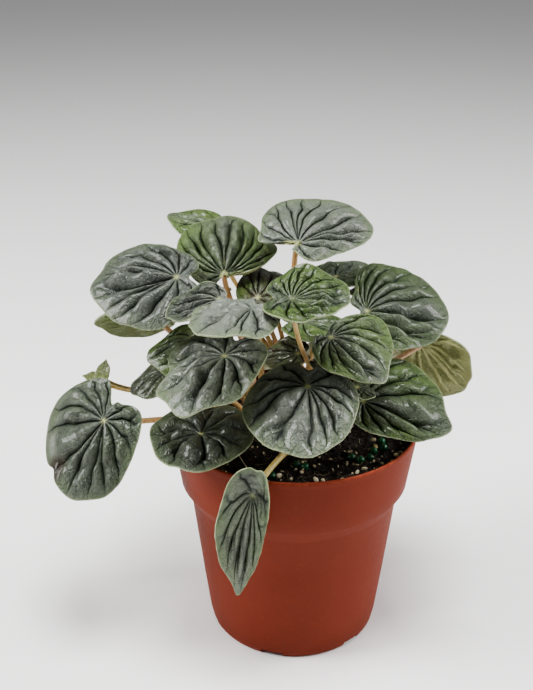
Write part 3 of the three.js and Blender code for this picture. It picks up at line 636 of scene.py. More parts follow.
# One row for each leaf: name, stalk joint, [heading, dip, roll], [reach, width, lobe],
# [tip drop, left drop, right drop, fold], [ripple, phase, lopsidedness], crown, [point, cleft],
# bulges of the outline [angle, spread, share], and the stalk's arrival where it isn't square to the blade
leafTable = [
    ("left", (-49, -5, 167), (176, 5, -28), (36, 44, 10), (6, 5, 4.5, 0), (0.8, 1, 0), 0,
     (0.3, 0.5), [(-60, 26, 0.22), (-128, 30, -0.2), (125, 25, 0.12)], (2, 14, -14)),
    ("top_left", (-30.3, 8, 164), (92, -36, 2), (36, 41, 8), (10, 5, 5, 0), (1, 2, 0), 0,
     (0, 0.7), [(-82, 14, 0.2), (-150, 36, -0.78), (60, 25, 0.08), (135, 28, -0.1)]),
    ("top_left_rear", (-36, 44, 172), (168, -19, -12), (22, 25, 8), (4, 2, 2, 0), (0.6, 0.5, 0), 2,
     (0.6, 0.4), [(-20, 15, 0.06)]),
    ("top", (0.8, 10, 177.2), (36, -8, 32), (39.5, 39, 13), (6, 5, 1, 0), (0.6, 3, 0.36), 2,
     (0, 0.9), [(45, 30, 0.08), (-158, 26, -0.6), (168, 13, 0.4)]),
    ("centre_pale", (-17, -36, 166), (-122, -4, 0), (28, 39, 9), (4, 5, 4, 0), (0.6, 1.5, 0), 0,
     (0, 0.4), [(-15, 18, 0.06), (50, 25, -0.07), (98, 30, -0.2), (140, 25, -0.22), (-120, 30, 0.1)],
     (2, 15, -12)),
    ("centre_left", (-28, -32, 144), (-121, 24, 4), (29, 45, 14), (5, 3, 4, 0), (1.2, 2.5, -0.14), 0,
     (0.3, 0.35), [(-10, 18, 0.07), (38, 26, -0.13), (-58, 20, 0.1), (-84, 9, -0.07), (-112, 22, 0.14)]),
    ("front", (5, -38, 134), (-96, 26, 0), (31.5, 45, 13), (4, 5, 5, 0), (0.7, 0.2, -0.1), 1,
     (0, 0.4), []),
    ("front_left", (-38, -34, 110), (-96, 8, 0), (22, 42, 23), (3, 3, 3, 0), (0.8, 1.2, 0), 0,
     (0.6, 0.25), [(62, 25, -0.04)]),
    ("far_left", (-80, -20, 108), (-127, 50, -15), (34, 43, 19), (3, 6, 6, 0), (0.8, 2.2, -0.2), 0,
     (0, 0.3), [(162, 24, -0.48), (60, 35, 0.08), (12, 18, 0.04), (-88, 28, 0.16), (-38, 7, -0.07)]),
    ("over_rim", (-16, -60, 97), (180, 82, -88), (42, 19, 13), (0, 0, 0, 0.35), (0.5, 0.8, -0.25), 1,
     (2.2, 0.1), [(-142, 22, 0.24)], (8, 10, 11)),
    ("right", (30, 2, 150), (14, 3, 30), (35, 47, 8), (5, 4, 5, 0), (0.6, 1.9, 0.2), 1,
     (0, 0.6), [(30, 34, 0.14), (78, 30, 0.12), (148, 18, -0.32)]),
    ("crinkled", (-1.2, -35.5, 170), (3, 2, 20), (22.8, 34.4, 11.2), (2, 2, 1, 0.22), (1.2, 2.8, 0), 1,
     (0.4, 0.35), [(38, 20, 0.08), (-28, 24, -0.12), (-78, 30, -0.22), (130, 28, -0.18), (-145, 22, 0.2)],
     (2, 2, -30)),
    ("crinkled_under", (3.5, -3, 147), (-2, 0, 8), (20, 29, 10), (4, 4, 2, 0), (1.2, 0.9, 0), 2,
     (0.4, 0.4), [(-45, 25, -0.12)]),
    ("right_centre", (14.2, -25, 149.5), (-38, 20, 16), (27, 34, 5), (4, 1, 4, 0), (0.7, 1.1, 0.22), 1,
     (1.2, 0.5), [(118, 30, 0.16), (-55, 30, -0.15)], (0, -3, -14)),
    ("right_low", (28, -26, 122), (-8, 12, 40), (36, 37, 7), (4, 4, 3, 0), (0.8, 2.1, 0.26), 1,
     (1.6, 0.5), [(-42, 20, -0.06), (-95, 35, -0.1), (95, 30, 0.08)]),
    ("right_turned", (54, 8, 133), (10, 47, -60), (29, 30, 5), (4, 4, 4, 0), (1.2, 1.4, 0), 1,
     (0.6, 0.4), [(-100, 35, 0.1), (35, 25, 0.1)], (-9, -4, -6)),
    ("young_centre", (1, -12, 136.3), (-178, 6, -20), (15, 18.5, 5.5), (2, 0, 0, 0.2), (0.6, 1.6, 0.1), 1,
     (0, 0.4), []),
    ("young_right", (9.5, -26, 138), (-36, 18, 0), (8, 7, 4), (2, 1, 1, 0), (0.4, 1.6, 0), 1,
     (0.4, 0.4), []),
    ("young_purple", (-16, 4, 155), (88, -34, 0), (20, 22, 7), (8, 2, 2, 0), (0.6, 0.4, -0.15), 2,
     (0.4, 0.4), []),
    ("young_grey", (-12, 34, 150), (80, -10, 0), (14, 18, 6), (3, 1, 1, 0), (0.4, 0.6, 0), 2,
     (0.4, 0.4), []),
    ("right_rear", (18, 38, 152), (60, -10, 0), (22, 31, 8), (5, 2, 2, 0), (0.6, 1.3, 0), 2,
     (0.4, 0.4), []),
    ("folded_left", (-30.5, -19.5, 163), (190, 14, -22), (22, 17, 4), (2, 0, 0, 0.35), (0.6, 2.4, 0), 0,
     (1, 0.3), [], (4, 12, -10)),
    ("left_turned", (-60, 14, 142), (178, 4, 50), (26, 30, 8), (4, 3, 3, 0), (0.6, 0.7, 0), 0,
     (1.4, 0.4), [], (4, -3, -8)),
    ("left_inner", (-44, -1, 138), (-165, 14, -20), (20, 24, 8), (6, 4, 2, 0), (0.8, 1.7, 0.3), 0,
     (0.4, 0.4), [(-60, 30, 0.1)]),
    ("left_low", (-55, -4, 124), (-160, 22, -10), (17, 20, 6), (3, 2, 2, 0), (0.6, 1.9, 0), 0,
     (0.4, 0.4), [(-70, 35, 0.16)]),
    ("right_small", (25, -30, 130), (-20, 14, 10), (8, 9, 3), (1, 1, 1, 0), (0.3, 1.9, 0), 1,
     (0.4, 0.4), [], (-8, 2, -4)),
    ("bud_upright", (-83.5, 0, 118.5), (60, -60, 0), (7, 7, 3), (0, 0, 0, 0.2), (0.2, 0.9, 0), 0,
     (4, 0.4), [], (10, 3, -12)),
    ("bud_flat", (-87, 4, 117), (175, 0, -20), (5, 5, 2), (0, 0, 0, 0.2), (0.2, 0.9, 0), 0,
     (3, 0.4), [], (10, 3, -12)),
    ("rear_left", (-42, 30, 146), (150, 20, 10), (32, 38, 12), (6, 4, 4, 0), (0.8, 1.2, 0), 0,
     (0.3, 0.4), []),
    ("rear_middle_left", (-24, 46, 134), (118, 26, 0), (30, 36, 12), (6, 4, 4, 0), (0.8, 2.6, 0.1), 2,
     (0, 0.5), []),
    ("rear_middle", (5, 52, 142), (86, 20, 0), (32, 38, 12), (6, 5, 4, 0), (0.8, 0.4, 0), 2,
     (0.6, 0.4), []),
    ("rear_right", (36, 38, 142), (48, 20, 0), (31, 38, 11), (6, 4, 5, 0), (0.8, 1.8, -0.1), 2,
     (0, 0.35), []),
    ("rear_right_low", (46, 38, 118), (42, 36, 0), (26, 28, 9), (5, 4, 4, 0), (0.8, 2.9, 0), 1,
     (0.4, 0.4), []),
    ("rear_low_left", (-40, 40, 112), (134, 40, 0), (28, 32, 12), (5, 4, 4, 0), (0.8, 0.9, 0), 0,
     (0.4, 0.4), []),
    ("rear_low", (-10, 56, 110), (102, 42, 0), (28, 31, 11), (5, 4, 4, 0), (0.8, 1.5, 0.1), 2,
     (0, 0.5), []),
    ("rear_low_right", (20, 56, 110), (78, 42, 0), (28, 33, 11), (5, 4, 4, 0), (0.8, 2.2, 0), 2,
     (0.6, 0.3), []),
]

# colours of each leaf: how silvery its ribs are, how fresh a green, how red-brown, its stalk's pink and green;
# the first two also make some leaves lighter or darker as painted light and shade, and silver above 1 is partly
# a painted highlight
leafLooks = {
    "left": (0.74, 0.05, 0.0, 0.8, 0.2), "top_left": (1.0, 0.62, 0.02, 0.1, 0.0),
    "top_left_rear": (0.95, 0.95, 0.0, 0.2, 0.3), "top": (1.12, 0.12, 0.0, 0.1, 0.0),
    "centre_pale": (1.36, 0.03, 0.02, 0.3, 0.3), "centre_left": (1.16, 0.12, 0.0, 0.3, 0.3),
    "front": (1.04, 0.08, 0.0, 0.3, 0.3), "front_left": (0.45, 0.35, 0.05, 0.2, 0.2),
    "far_left": (0.66, 0.25, 0.0, 0.1, 0.0), "over_rim": (1.10, 0.35, 0.0, 0.0, 0.6),
    "right": (0.60, 0.55, 0.0, 0.3, 0.3), "crinkled": (0.84, 1.0, 0.0, 0.3, 0.3),
    "crinkled_under": (0.90, 1.0, 0.0, 0.3, 0.3), "right_centre": (1.06, 0.62, 0.03, 0.3, 0.3),
    "right_low": (0.62, 0.80, 0.0, 0.3, 0.3), "right_turned": (1.0, 0.60, 0.0, 0.9, 0.1),
    "young_centre": (0.80, 0.70, 0.22, 0.4, 0.1), "young_right": (0.60, 0.40, 0.25, 0.4, 0.1),
    "young_purple": (0.85, 1.0, 0.08, 0.3, 0.1), "young_grey": (0.70, 0.25, 0.05, 0.3, 0.3),
    "right_rear": (0.55, 0.65, 0.0, 0.3, 0.3), "folded_left": (0.60, 0.15, 0.03, 0.9, 0.1),
    "left_turned": (0.12, 0.60, 0.0, 0.9, 0.1), "left_inner": (1.0, 1.0, 0.0, 0.3, 0.4),
    "left_low": (0.62, 0.60, 0.08, 0.3, 0.4), "right_small": (0.60, 0.65, 0.05, 0.3, 0.4),
    "bud_upright": (1.0, 1.0, 0.10, 0.1, 0.4), "bud_flat": (1.0, 1.0, 0.10, 0.1, 0.4),
    "rear_middle": (0.95, 0.10, 0.0, 0.3, 0.3), "rear_low_right": (0.90, 0.20, 0.0, 0.3, 0.3),
}
usualLook = (0.75, 0.35, 0.0, 0.3, 0.3)
# where the veins of a leaf run: angle from the tip in degrees, at the joint and at the margin
leafVeins = {
    "left": [(-155, -150), (-128, -112), (-102, -80), (-76, -54), (-52, -36), (-38, -17), (30, 14), (36, 38),
        (48, 60), (96, 78), (128, 122), (160, 158)],
    "top_left": [(-150, -150), (-122, -108), (-103, -84), (-92, -62), (-79, -44), (-60, -26), (-4, -14),
        (8, 20), (62, 36), (82, 52), (102, 72), (122, 100), (150, 150)],
    "top": [(-130, -118), (-92, -80), (-44, -56), (-12, -28), (4, 17), (48, 32), (70, 54), (79, 70),
        (84, 88), (130, 98), (144, 136), (163, 158)],
    "centre_pale": [(-150, -145), (-112, -98), (-78, -62), (-28, -14), (16, 20), (34, 34), (62, 60),
        (105, 105), (150, 150)],
    "centre_left": [(-165, -160), (-138, -124), (-112, -92), (-86, -72), (-54, -50), (-14, 0), (52, 28),
        (84, 66), (118, 94), (146, 132), (170, 166)],
    "front": [(-158, -152), (-130, -124), (-106, -88), (-96, -62), (-20, -34), (20, 12), (46, 30), (70, 50),
        (96, 82), (116, 104), (150, 142)],
    "far_left": [(-168, -165), (-152, -146), (-134, -124), (-112, -98), (-72, -82), (-24, -36), (-12, -8),
        (32, 20), (38, 44), (82, 60), (100, 88), (122, 118), (148, 146)],
    "front_left": [(-142, -132), (-104, -82), (-70, -66), (-60, -28), (24, 14), (70, 46), (88, 72),
        (124, 106), (152, 146), (176, 176)],
    "over_rim": [(-158, -150), (-136, -96), (-108, -62), (-68, -38), (-38, -10), (36, 4), (66, 44), (92, 74),
        (128, 120)],
    "right": [(-165, -160), (-140, -125), (-114, -84), (-90, -46), (-30, -8), (38, 20), (64, 38), (84, 56),
        (98, 76), (116, 94), (134, 122), (156, 150)],
    "crinkled": [(-155, -152), (-122, -118), (-92, -82), (-52, -40), (-12, -8), (22, 14), (44, 34), (62, 54),
        (80, 72), (98, 88), (118, 106), (140, 128), (162, 152)],
    "right_centre": [(-150, -150), (-120, -108), (-96, -78), (-70, -40), (-16, -3), (58, 20), (94, 44),
        (116, 76), (140, 118), (165, 160)],
    "right_low": [(-150, -150), (-124, -118), (-98, -88), (-72, -48), (-14, -26), (52, 38), (84, 66),
        (112, 98), (145, 140)],
}
leafKeys = ("name", "at", "turn", "size", "droop", "edge", "crown", "ends", "bulges", "arrival")
leaves = [dict(zip(leafKeys, row)) for row in leafTable]
# brown dried stretch of a margin: angle from the tip and spread in degrees
dryEdges = {"far_left": (-36, 11)}
# how pale the dot over the stalk is where it isn't the usual 0.85
jointDots = {"centre_pale": 0.0, "over_rim": 0.5, "crinkled": 0.25}
# how much red-brown shows between the ribs of young leaves
youngCreases = {"young_purple": 1.1, "young_centre": 0.9, "young_right": 0.6, "left_low": 0.3}
# how much of the underside's pale green shows on the upper face of the two buds
paleTops = {"bud_upright": 0.35, "bud_flat": 0.35}
# how deep the ribs of a leaf are against the usual
leafDepth = {"centre_pale": 1.05, "over_rim": 0.85, "top_left": 1.2, "crinkled": 1.45, "folded_left": 1.3,
             "left_turned": 0.6, "left_low": 0.55, "bud_upright": 0.15, "bud_flat": 0.15, "top_left_rear": 0.8}
# how strongly a leaf's ribs are broken up into pillows against the usual
leafPillows = {"crinkled": 1.6, "centre_pale": 0.1, "top_left": 0.8, "front": 1.3, "right_centre": 1.3,
               "top": 0.8, "right": 0.7}

blade = {
    # mesh: long leaves have the fine grid, but not the rear ones
    "fineFrom": 20, "sides": 250, "rings": 46, "smallSides": 144, "smallRings": 26, "mapSize": 50,
    # form: thickness, how far the rim stands out, spread of point and cleft, dimple over the stalk, swells
    "thick": 0.7, "rim": 0.22, "usualReach": 36, "point": 0.22, "cleft": 0.14, "dimple": 1.6, "swell": 1.0,
    # veins of leaves without a plan, and the way of all veins
    "manyFrom": 26, "manyVeins": 9, "fewVeins": 7, "arch": 32.0, "uneven": 6.0, "bend": 1.1, "wiggle": 0.052,
    # ribs: height against the blade's width, the width that nearly gives it, how far all of them are sunk,
    # roundness, swelling on the way out, how deep forks, second branches and the steps between pillows cut in,
    # and the height of the rib under each vein
    "puff": 0.108, "rise": 8.0, "sunk": 0.72, "round": 0.62, "throb": 0.26, "fork": 0.5, "second": 0.4,
    "ladder": 0.26, "underRib": 0.3,
    # veins: width of the dark line, depth of the groove
    "crease": 0.34, "cut": 0.3,
}
crowns = [("crown_left", -13, -3), ("crown_right", 13, -4), ("crown_back", 1, 14)]
stalk = {"top": 98, "below": 3, "inside": 2.2, "lean": 0.25, "least": 10, "share": 0.5, "reach": 0.22,
         "gap": 0.45, "sunk": 0.8, "sides": 14, "steps": 36}


# Columns of a blade's grid, laid along its veins so that every vein is an edge of the mesh. A vein runs from
# its angle at the joint to its angle at the margin, as first + (final - first) * share^bend, with a slight
# wiggle; leaves without a plan have even veins that arch towards the tip. Gives the angle of each point, its
# share across its rib from the vein nearer the tip (denser beside the veins), and the rib's number, width as an
# angle and lean.
def ribGrid(name, share, count, phase, sides):
    if name in leafVeins:
        first, final = np.radians(np.array(leafVeins[name], dtype=float)).T
    else:
        order = np.arange(count) - count // 2
        plain = 360 / count * order
        first = np.radians(plain + blade["uneven"] * np.sin(2.1 * order + 3 * phase))
        final = first - np.radians(blade["arch"]) * np.sin(first)
    turns = (final - first) * share ** blade["bend"]
    wiggle = np.sin(11 * share + 7 * first) + 0.35 * np.sin(25 * share + 13 * first)
    low = first + turns + blade["wiggle"] * share * wiggle
    high = np.concatenate([low[:, 1:], low[:, :1] + 2 * np.pi], axis=1)
    lean = blade["bend"] * (turns + np.roll(turns, -1, axis=1)) / 2
    perRib = round(sides / len(first))
    even = np.arange(perRib) / perRib
    across = 0.6 * even + 0.4 * (1 - np.cos(np.pi * even)) / 2    # columns crowd beside the veins
    t = (low[..., None] + across * (high - low)[..., None]).reshape(len(share), -1)
    t = (t + np.pi) % (2 * np.pi) - np.pi
    middle = (first + np.append(first[1:], first[0] + 2 * np.pi)) / 2
    flipped = np.repeat(np.sin(middle) < 0, perRib)
    s = np.tile(across, len(first))
    s = np.where(flipped, 1 - s, s)
    rib = np.repeat(np.arange(len(first)), perRib)
    return t, s, rib, np.repeat(high - low, perRib, axis=1), np.repeat(lean, perRib, axis=1)


# The smooth blade in its own axes, as the solid has it: x to the tip, y to its left, the joint at the origin.
# Outline: an egg with a point, a cleft and bulges; share runs out from the joint to it at angle t.
# Height: droop with the square of the way to tip, lobe and sides, a fold along the middle, a dimple at the
# joint, and a ripple at the margin.
def plainBlade(leaf, share, t):
    (reach, width, lobe), (tipDrop, leftDrop, rightDrop, fold) = leaf["size"], leaf["droop"]
    (ripple, phase, lop), (point, cleft) = leaf["edge"], leaf["ends"]
    scale = reach / blade["usualReach"]
    pointOut = point * scale * bellOf(t, blade["point"])
    cleftIn = cleft * lobe * bellOf(np.pi - np.abs(t), blade["cleft"])
    bulged = np.ones_like(t)
    for angle, spread, amount in leaf["bulges"]:
        off = t - np.radians(angle)
        bulged = bulged + amount * bellOf(np.arctan2(np.sin(off), np.cos(off)), np.radians(spread))
    uneven = (1 + 0.018 * np.sin(4 * t + 1.7 * phase) + 0.012 * np.sin(7 * t + phase)) * bulged
    broad = (1 - 0.1 * np.cos(t)) * (1 + lop * np.sin(t))    # broader behind the joint, and on one side
    edgeX = uneven * ((reach - lobe) / 2 + (reach + lobe) / 2 * np.cos(t)) + pointOut + cleftIn
    edgeY = uneven * broad * width / 2 * np.sin(t)
    x = share * edgeX - 0.22 * share * (1 - share) * np.abs(edgeY)    # the way out bows back on the flanks
    y = share * edgeY
    z = -tipDrop * (np.maximum(x, 0) / reach) ** 2
    z = z - 0.35 * tipDrop * lobe / reach * (np.minimum(x, 0) / max(lobe, 6)) ** 2
    z = z - np.where(y > 0, leftDrop, rightDrop) * (2 * y / width) ** 2
    z = z + fold * (np.hypot(y, 2) - 2)
    z = z + blade["dimple"] * scale * (1 - np.exp(-(x * x + y * y) / (0.2 * width) ** 2))
    z = z + ripple * share ** 3 * (np.sin(3 * t + phase) + 0.6 * np.sin(5 * t + 2.3 * phase))
    return x, y, z


# Upper face of a blade: the smooth blade with ribs puffed between the veins, less a groove along each vein,
# a dip along each branch and soft steps that part a rib into pillows, plus slow random swells.
# A rib is puff * width * (1 - e^(-(its width / rise)^1.3)) high, so narrow ribs are lower, and it swells and
# shrinks on its way out. Gives angles, points, and the masks of the veins and of the ribs' height.
def bladeTop(leaf, share, sides, seed):
    name, (reach, width, _), (_, phase, _) = leaf["name"], leaf["size"], leaf["edge"]
    veins = blade["manyVeins"] if reach >= blade["manyFrom"] else blade["fewVeins"]
    t, s, rib, span, lean = ribGrid(name, share, veins, phase, sides)
    x, y, z = plainBlade(leaf, share, t)
    random = np.random.default_rng(seed)
    shift, amount = random.uniform(0, 1, 20)[rib], random.uniform(0.5, 1.3, 20)[rib]    # each rib has its own
    depth, pillows = leafDepth.get(name, 1.0), leafPillows.get(name, 1.0) * amount
    scale, radius = reach / blade["usualReach"], np.hypot(x, y)
    ribWidth = radius * span / np.sqrt(1 + lean ** 2)
    toVein = np.minimum(s, 1 - s) * ribWidth
    # ribs die out towards the margin and are lower beside the cleft
    body = (1 - 0.96 * smoothStep(0.6, 1.0, share)) * (1 - 0.4 * smoothStep(2.1, 3.0, np.abs(t)))
    bulge = np.sin(np.pi * np.clip(s, 0, 1)) ** blade["round"]
    throb = 1 + blade["throb"] * np.sin(2 * np.pi * (2.1 * share + 3 * shift)) * smoothStep(0.2, 0.5, share)

    # on most wide ribs a branch leaves the vein on its way out and runs to the middle; a few have a second one
    wide = smoothStep(0.34, 0.6, span)
    forkFrom, secondFrom = 0.42 + 0.28 * shift, 0.48 + 0.2 * (1 - shift)
    fork = 0.52 * smoothStep(forkFrom, forkFrom + 0.45, share) * (0.85 + 0.25 * shift)
    second = 1 - 0.45 * smoothStep(secondFrom, secondFrom + 0.42, share)
    forkOn = smoothStep(forkFrom, forkFrom + 0.12, share) * (shift > 0.35) * wide
    secondOn = smoothStep(secondFrom, secondFrom + 0.12, share) * (amount > 1.05) * wide
    forkDip, secondDip = bellOf(s - fork, 0.085) * forkOn, bellOf(s - second, 0.07) * secondOn
    # bowed and slanting steps across the rib
    steps = 3.6 * share + 1.1 * (s - 0.5) ** 2 + shift * 1.7 + 0.5 * (s - 0.5)
    ladder = np.abs(np.sin(np.pi * steps)) ** 0.7
    ladderDip = (1 - ladder) * bulge * smoothStep(0.12, 0.3, share) * (1 - 0.7 * smoothStep(0.75, 1, share))

    # height of a rib of that width; all are sunk by a share of what even ribs would have there
    def ribHeight(ribWide):
        return depth * blade["puff"] * width * (1 - np.exp(-(ribWide / blade["rise"]) ** 1.3))
    size = ribHeight(ribWidth) * (0.8 + 0.24 * amount * bulge) * throb
    usual = ribHeight(radius * 2 * np.pi / (rib[-1] + 1))
    z = z + body * (1.15 * size * bulge - blade["sunk"] * usual)
    groove = bellOf(toVein, 0.4) * smoothStep(1, 4, radius) * (1 - smoothStep(0.8, 1, share))
    z = z - depth * blade["cut"] * scale * groove
    z = z - size * body * np.maximum(blade["fork"] * forkDip, blade["second"] * secondDip)
    z = z - size * body * blade["ladder"] * pillows * ladderDip
    swell = waveField(np.stack([x, y], axis=-1), seed=seed + 500, waves=14, finest=5.0, coarsest=26.0)
    z = z + blade["swell"] * scale * swell * share * (1 - 0.6 * share)

    # the lines of the veins, painted shade in their grooves, are thinner near the joint and fade at the margin;
    # relief tells ribs from hollows
    crease, fade = blade["crease"], 1 - 0.55 * smoothStep(0.75, 1, share)
    vein = bellOf(toVein, np.minimum(crease, 0.12 + 0.08 * ribWidth)) * fade
    vein = np.maximum(vein, 0.85 * bellOf((s - fork) * ribWidth, 0.8 * crease) * forkOn * fade)
    vein = np.maximum(vein, 0.6 * bellOf((s - second) * ribWidth, 0.7 * crease) * secondOn * fade)
    # the steps between pillows take part of the veins' painted shade
    vein = np.maximum(vein, 0.35 * ladderDip * pillows)
    vein = vein * smoothStep(0.4, 3.0, radius) * min(1, depth)
    # the ribs' height for the colour: hollows, forks and the steps between pillows get painted shade, and
    # swells are painted lighter
    relief = bulge ** 0.45 * (1 - 0.6 * np.maximum(forkDip, 0.8 * secondDip)) * (1 - 0.3 * pillows * ladderDip)
    relief = relief + 0.2 * swell
    relief = relief + (0.8 - relief) * smoothStep(0.8, 1.0, share) * 0.8
    return t, np.stack([x, y, z], axis=-1), np.clip(vein, 0, 1), np.clip(relief, 0, 1)


# A blade: its upper face, a rim, and an underside at the blade's thickness along the normals, with a rib under
# each vein; the masks tell its one material what lies where.
def makeBlade(index, leaf):
    name, reach = leaf["name"], leaf["size"][0]
    silver, fresh, warm = leafLooks.get(name, usualLook)[:3]
    fine = reach >= blade["fineFrom"] and not name.startswith("rear")
    rings = blade["rings"] if fine else blade["smallRings"]
    share = (np.arange(1, rings + 1) / rings)[:, None] ** 0.9
    sides = blade["sides"] if fine else blade["smallSides"]
    t, top, vein, relief = bladeTop(leaf, share, sides, seed=100 + index)
    sides = t.shape[1]    # a whole number of columns for each rib
    # unit normals from the two directions of the grid
    outward = np.gradient(top, axis=0)
    normal = np.cross(outward, np.roll(top, -1, axis=1) - np.roll(top, 1, axis=1))
    normal /= np.linalg.norm(normal, axis=-1, keepdims=True)
    bottom = top - (blade["thick"] + blade["underRib"] * vein * (1 - 0.6 * share))[..., None] * normal
    outward = outward[-1] / np.linalg.norm(outward[-1], axis=-1, keepdims=True)
    rim = (top[-1] + bottom[-1]) / 2 + blade["rim"] * outward
    points = closedPoints(np.concatenate([top, rim[None], bottom[::-1]]), (0, 0, 0), (0, 0, -blade["thick"]))
    flatMap = points[:, :2] / blade["mapSize"] + 0.5
    points = points @ turnOf(leaf["turn"]).T + np.array(leaf["at"])

    brown = warm + youngCreases.get(name, 0.0) * (1 - relief)
    if name in dryEdges:
        angle, spread = np.radians(dryEdges[name])
        dried = bellOf(t - angle, spread) * smoothStep(0.70, 0.92, share)
        brown, vein = np.maximum(brown, dried), np.maximum(vein, 0.8 * dried)
    edgeBand = smoothStep(0.975, 1.0, share) * 0.5 * (1 - brown)
    dot, plain = jointDots.get(name, 0.85), paleTops.get(name, 0.0)
    jointSpot = bellOf(np.hypot(top[..., 0], top[..., 1]), 1.0) * dot
    # greener towards the margin and on the flanks
    greener = fresh * (0.4 + 1.1 * share * np.abs(np.sin(t))) + 0.3 * smoothStep(0.75, 1.0, share) * (1 - fresh)

    # a mask for the upper face, the rim, the underside and the two middle points
    def allFaces(upper, edge, lower, ends=(0.0, 0.0)):
        return np.concatenate([np.broadcast_to(upper, (rings, sides)).ravel(), np.broadcast_to(edge, sides),
                               np.broadcast_to(lower, (rings, sides))[::-1].ravel(), ends])
    masks = {
        "relief": allFaces(relief, 0.5, relief),
        "vein": allFaces(vein, 0.0, vein),
        "margin": allFaces(edgeBand, 0.9 * (1 - brown[-1]), edgeBand),
        "joint": allFaces(jointSpot, 0.0, 0.0, (dot, 0.0)),
        "under": allFaces(plain, 0.5, 1.0, (plain, 1.0)),
        "silver": allFaces(silver, silver, silver, (silver, silver)),
        "fresh": allFaces(greener, fresh, greener, (fresh, fresh)),
        "warm": allFaces(brown, brown[-1], brown, (warm, warm)),
    }
    faces = closedFaces(2 * rings + 1, sides)
    piece = makePiece(f"blade_{name}", bladeMaterial, points, faces, masks, flatMap)
    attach(piece, "root")
    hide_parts(f"leaf_{name}")


# A stalk: a tube along a cubic Bezier curve from its crown to the joint under its blade, tapered, wider at the
# foot and flared at the top.
def stalkTube(leaf):
    reach, arrival = leaf["size"][0], leaf.get("arrival")
    pink, green = leafLooks.get(leaf["name"], usualLook)[3:]
    base = 1.3 if reach >= 26 else 1.05 if reach >= 14 else 0.9
    joint, centre = np.array(leaf["at"], dtype=float), np.array(crowns[leaf["crown"]][1:])
    down = turnOf(leaf["turn"]) @ np.array([0, 0, -1.0])
    end = joint + down * (stalk["gap"] + (stalk["sunk"] if arrival else 0))
    flat = joint[:2] - centre
    start = np.array([*(centre + stalk["inside"] * flat / np.linalg.norm(flat)), stalk["top"] - stalk["below"]])
    first = start + stalk["lean"] * np.array([*(joint - start)[:2], 0])
    first[2] = start[2] + stalk["least"] + stalk["share"] * (joint[2] - stalk["top"])
    last = end + (np.array(arrival) if arrival else down * stalk["reach"] * np.linalg.norm(end - start))
    u = np.linspace(0, 1, stalk["steps"])[:, None]
    path = (1 - u) ** 3 * start + 3 * (1 - u) ** 2 * u * first + 3 * (1 - u) * u ** 2 * last + u ** 3 * end
    u = u[:, 0]
    radii = base * (1.12 - 0.26 * u + 0.22 * smoothStep(0.95, 1.0, u) + 0.12 * smoothStep(0.12, 0.0, u))
    points, faces = tubeOf(path, radii, stalk["sides"])
    along = np.concatenate([np.repeat(u, stalk["sides"]), [0, 1]])
    return points, faces, {"along": along, "pink": np.full(len(points), pink),
                           "green": np.clip(green * (0.55 + 0.6 * along), 0, 1)}


# radius and height of a crown's profile, from the mix up
crownProfile = [(0, 82), (3.2, 82), (4.5, 82.4), (4.6, 84), (4.6, 90), (4.6, 94.6), (4.3, 95.8), (3.6, 97.0),
                (2.2, 97.8), (0, 98)]


# A crown: a short knobbly stump, its profile turned about its axis, in one piece with its stalks.
def makeCrown(index):
    name, cx, cy = crowns[index]
    points, faces = turnedSurface(crownProfile, 32)
    knobs = 1 + 0.05 * waveField(points, seed=70 + index, waves=16, finest=1.6, coarsest=7.0)[:, None]
    points = points * np.concatenate([knobs, knobs, np.ones_like(knobs)], axis=1) + (cx, cy, 0)
    plain = {"along": 0.0, "pink": 0.0, "green": 0.25}
    masks = {key: np.full(len(points), value) for key, value in plain.items()}
    parts = [(points, faces, masks)] + [stalkTube(leaf) for leaf in leaves if leaf["crown"] == index]
    piece = makePiece(f"stalks_{name}", stalkMaterial, *joinParts(parts))
    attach(piece, "root")
    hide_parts(name)


for index, leaf in enumerate(leaves):
    makeBlade(index, leaf)
for index in range(len(crowns)):
    makeCrown(index)
print("leaves ready:", len(leaves))


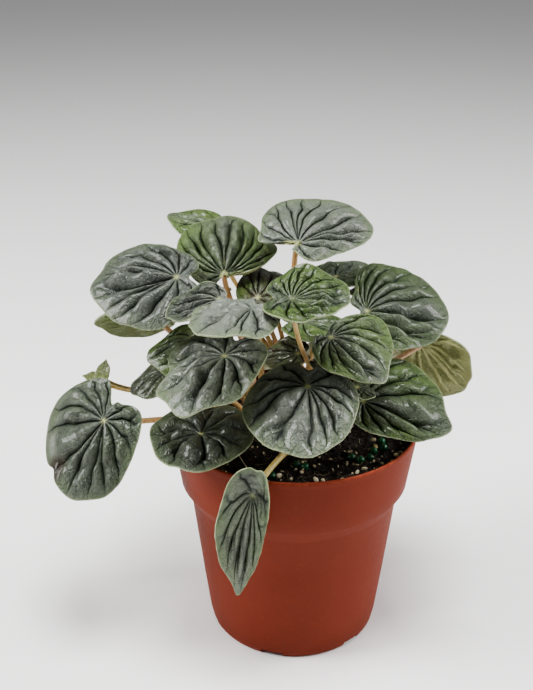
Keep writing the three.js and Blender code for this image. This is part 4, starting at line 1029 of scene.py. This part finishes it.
studio = {
    "floor": (0.90, 0.89, 0.88, 1), "floorShade": (0.86, 0.85, 0.84, 1), "floorReach": 4000,
    "world": (0.80, 0.79, 0.80, 1), "worldStrength": 0.31,
    # name, power, size, place
    "lights": [("windowLight", 13.5, 0.5, (-0.85, -0.12, 0.72)), ("sideLight", 8.5, 0.5, (0.85, 0.05, 0.5)),
               ("ceilingLight", 12.5, 0.36, (0.02, -0.16, 1.1))],
    "lightsAimAt": (0, 0, 0.1),
    "lens": 58.435, "cameraAt": (0, -0.4348, 0.3273), "cameraDip": 23.877, "cameraSwing": 1.6095,
}


def makeFloor():
    made, tree, shader, place = newMaterial("studioFloor")
    soft = useGroup(tree, mottle, place, 3.0, 0.3)
    colour = mixColour(tree, soft, studio["floor"], studio["floorShade"])
    fillNode(tree, shader, {"Base Color": colour, "Roughness": 0.6})
    corners = studio["floorReach"] * np.array([(-1.0, -1, 0), (1, -1, 0), (1, 1, 0), (-1, 1, 0)])
    floor = makePiece("studioFloor", made, corners, [np.array([[0, 1, 2, 3]])])


def addLight(name, power, size, at):
    light = bpy.data.lights.new(name, "AREA")
    light.energy, light.size = power, size
    lamp = bpy.data.objects.new(name, light)
    lamp.location = at
    dx, dy, dz = (a - b for a, b in zip(at, studio["lightsAimAt"]))
    lamp.rotation_euler = (math.atan2(math.hypot(dx, dy), dz), 0, math.atan2(dx, -dy))
    bpy.context.scene.collection.objects.link(lamp)


makeFloor()
for light in studio["lights"]:
    addLight(*light)
world = bpy.data.worlds.new("softRoom")
world.use_nodes = True
fillNode(world.node_tree, world.node_tree.nodes["Background"], {0: studio["world"], 1: studio["worldStrength"]})
bpy.context.scene.world = world
bpy.context.scene.view_settings.look = "AgX - Medium High Contrast"

cameraData = bpy.data.cameras.new("camera")
cameraData.lens = studio["lens"]
camera = bpy.data.objects.new("camera", cameraData)
camera.location = studio["cameraAt"]
camera.rotation_euler = (math.radians(90 - studio["cameraDip"]), 0, math.radians(studio["cameraSwing"]))
bpy.context.scene.collection.objects.link(camera)
bpy.context.scene.camera = camera

print("done")
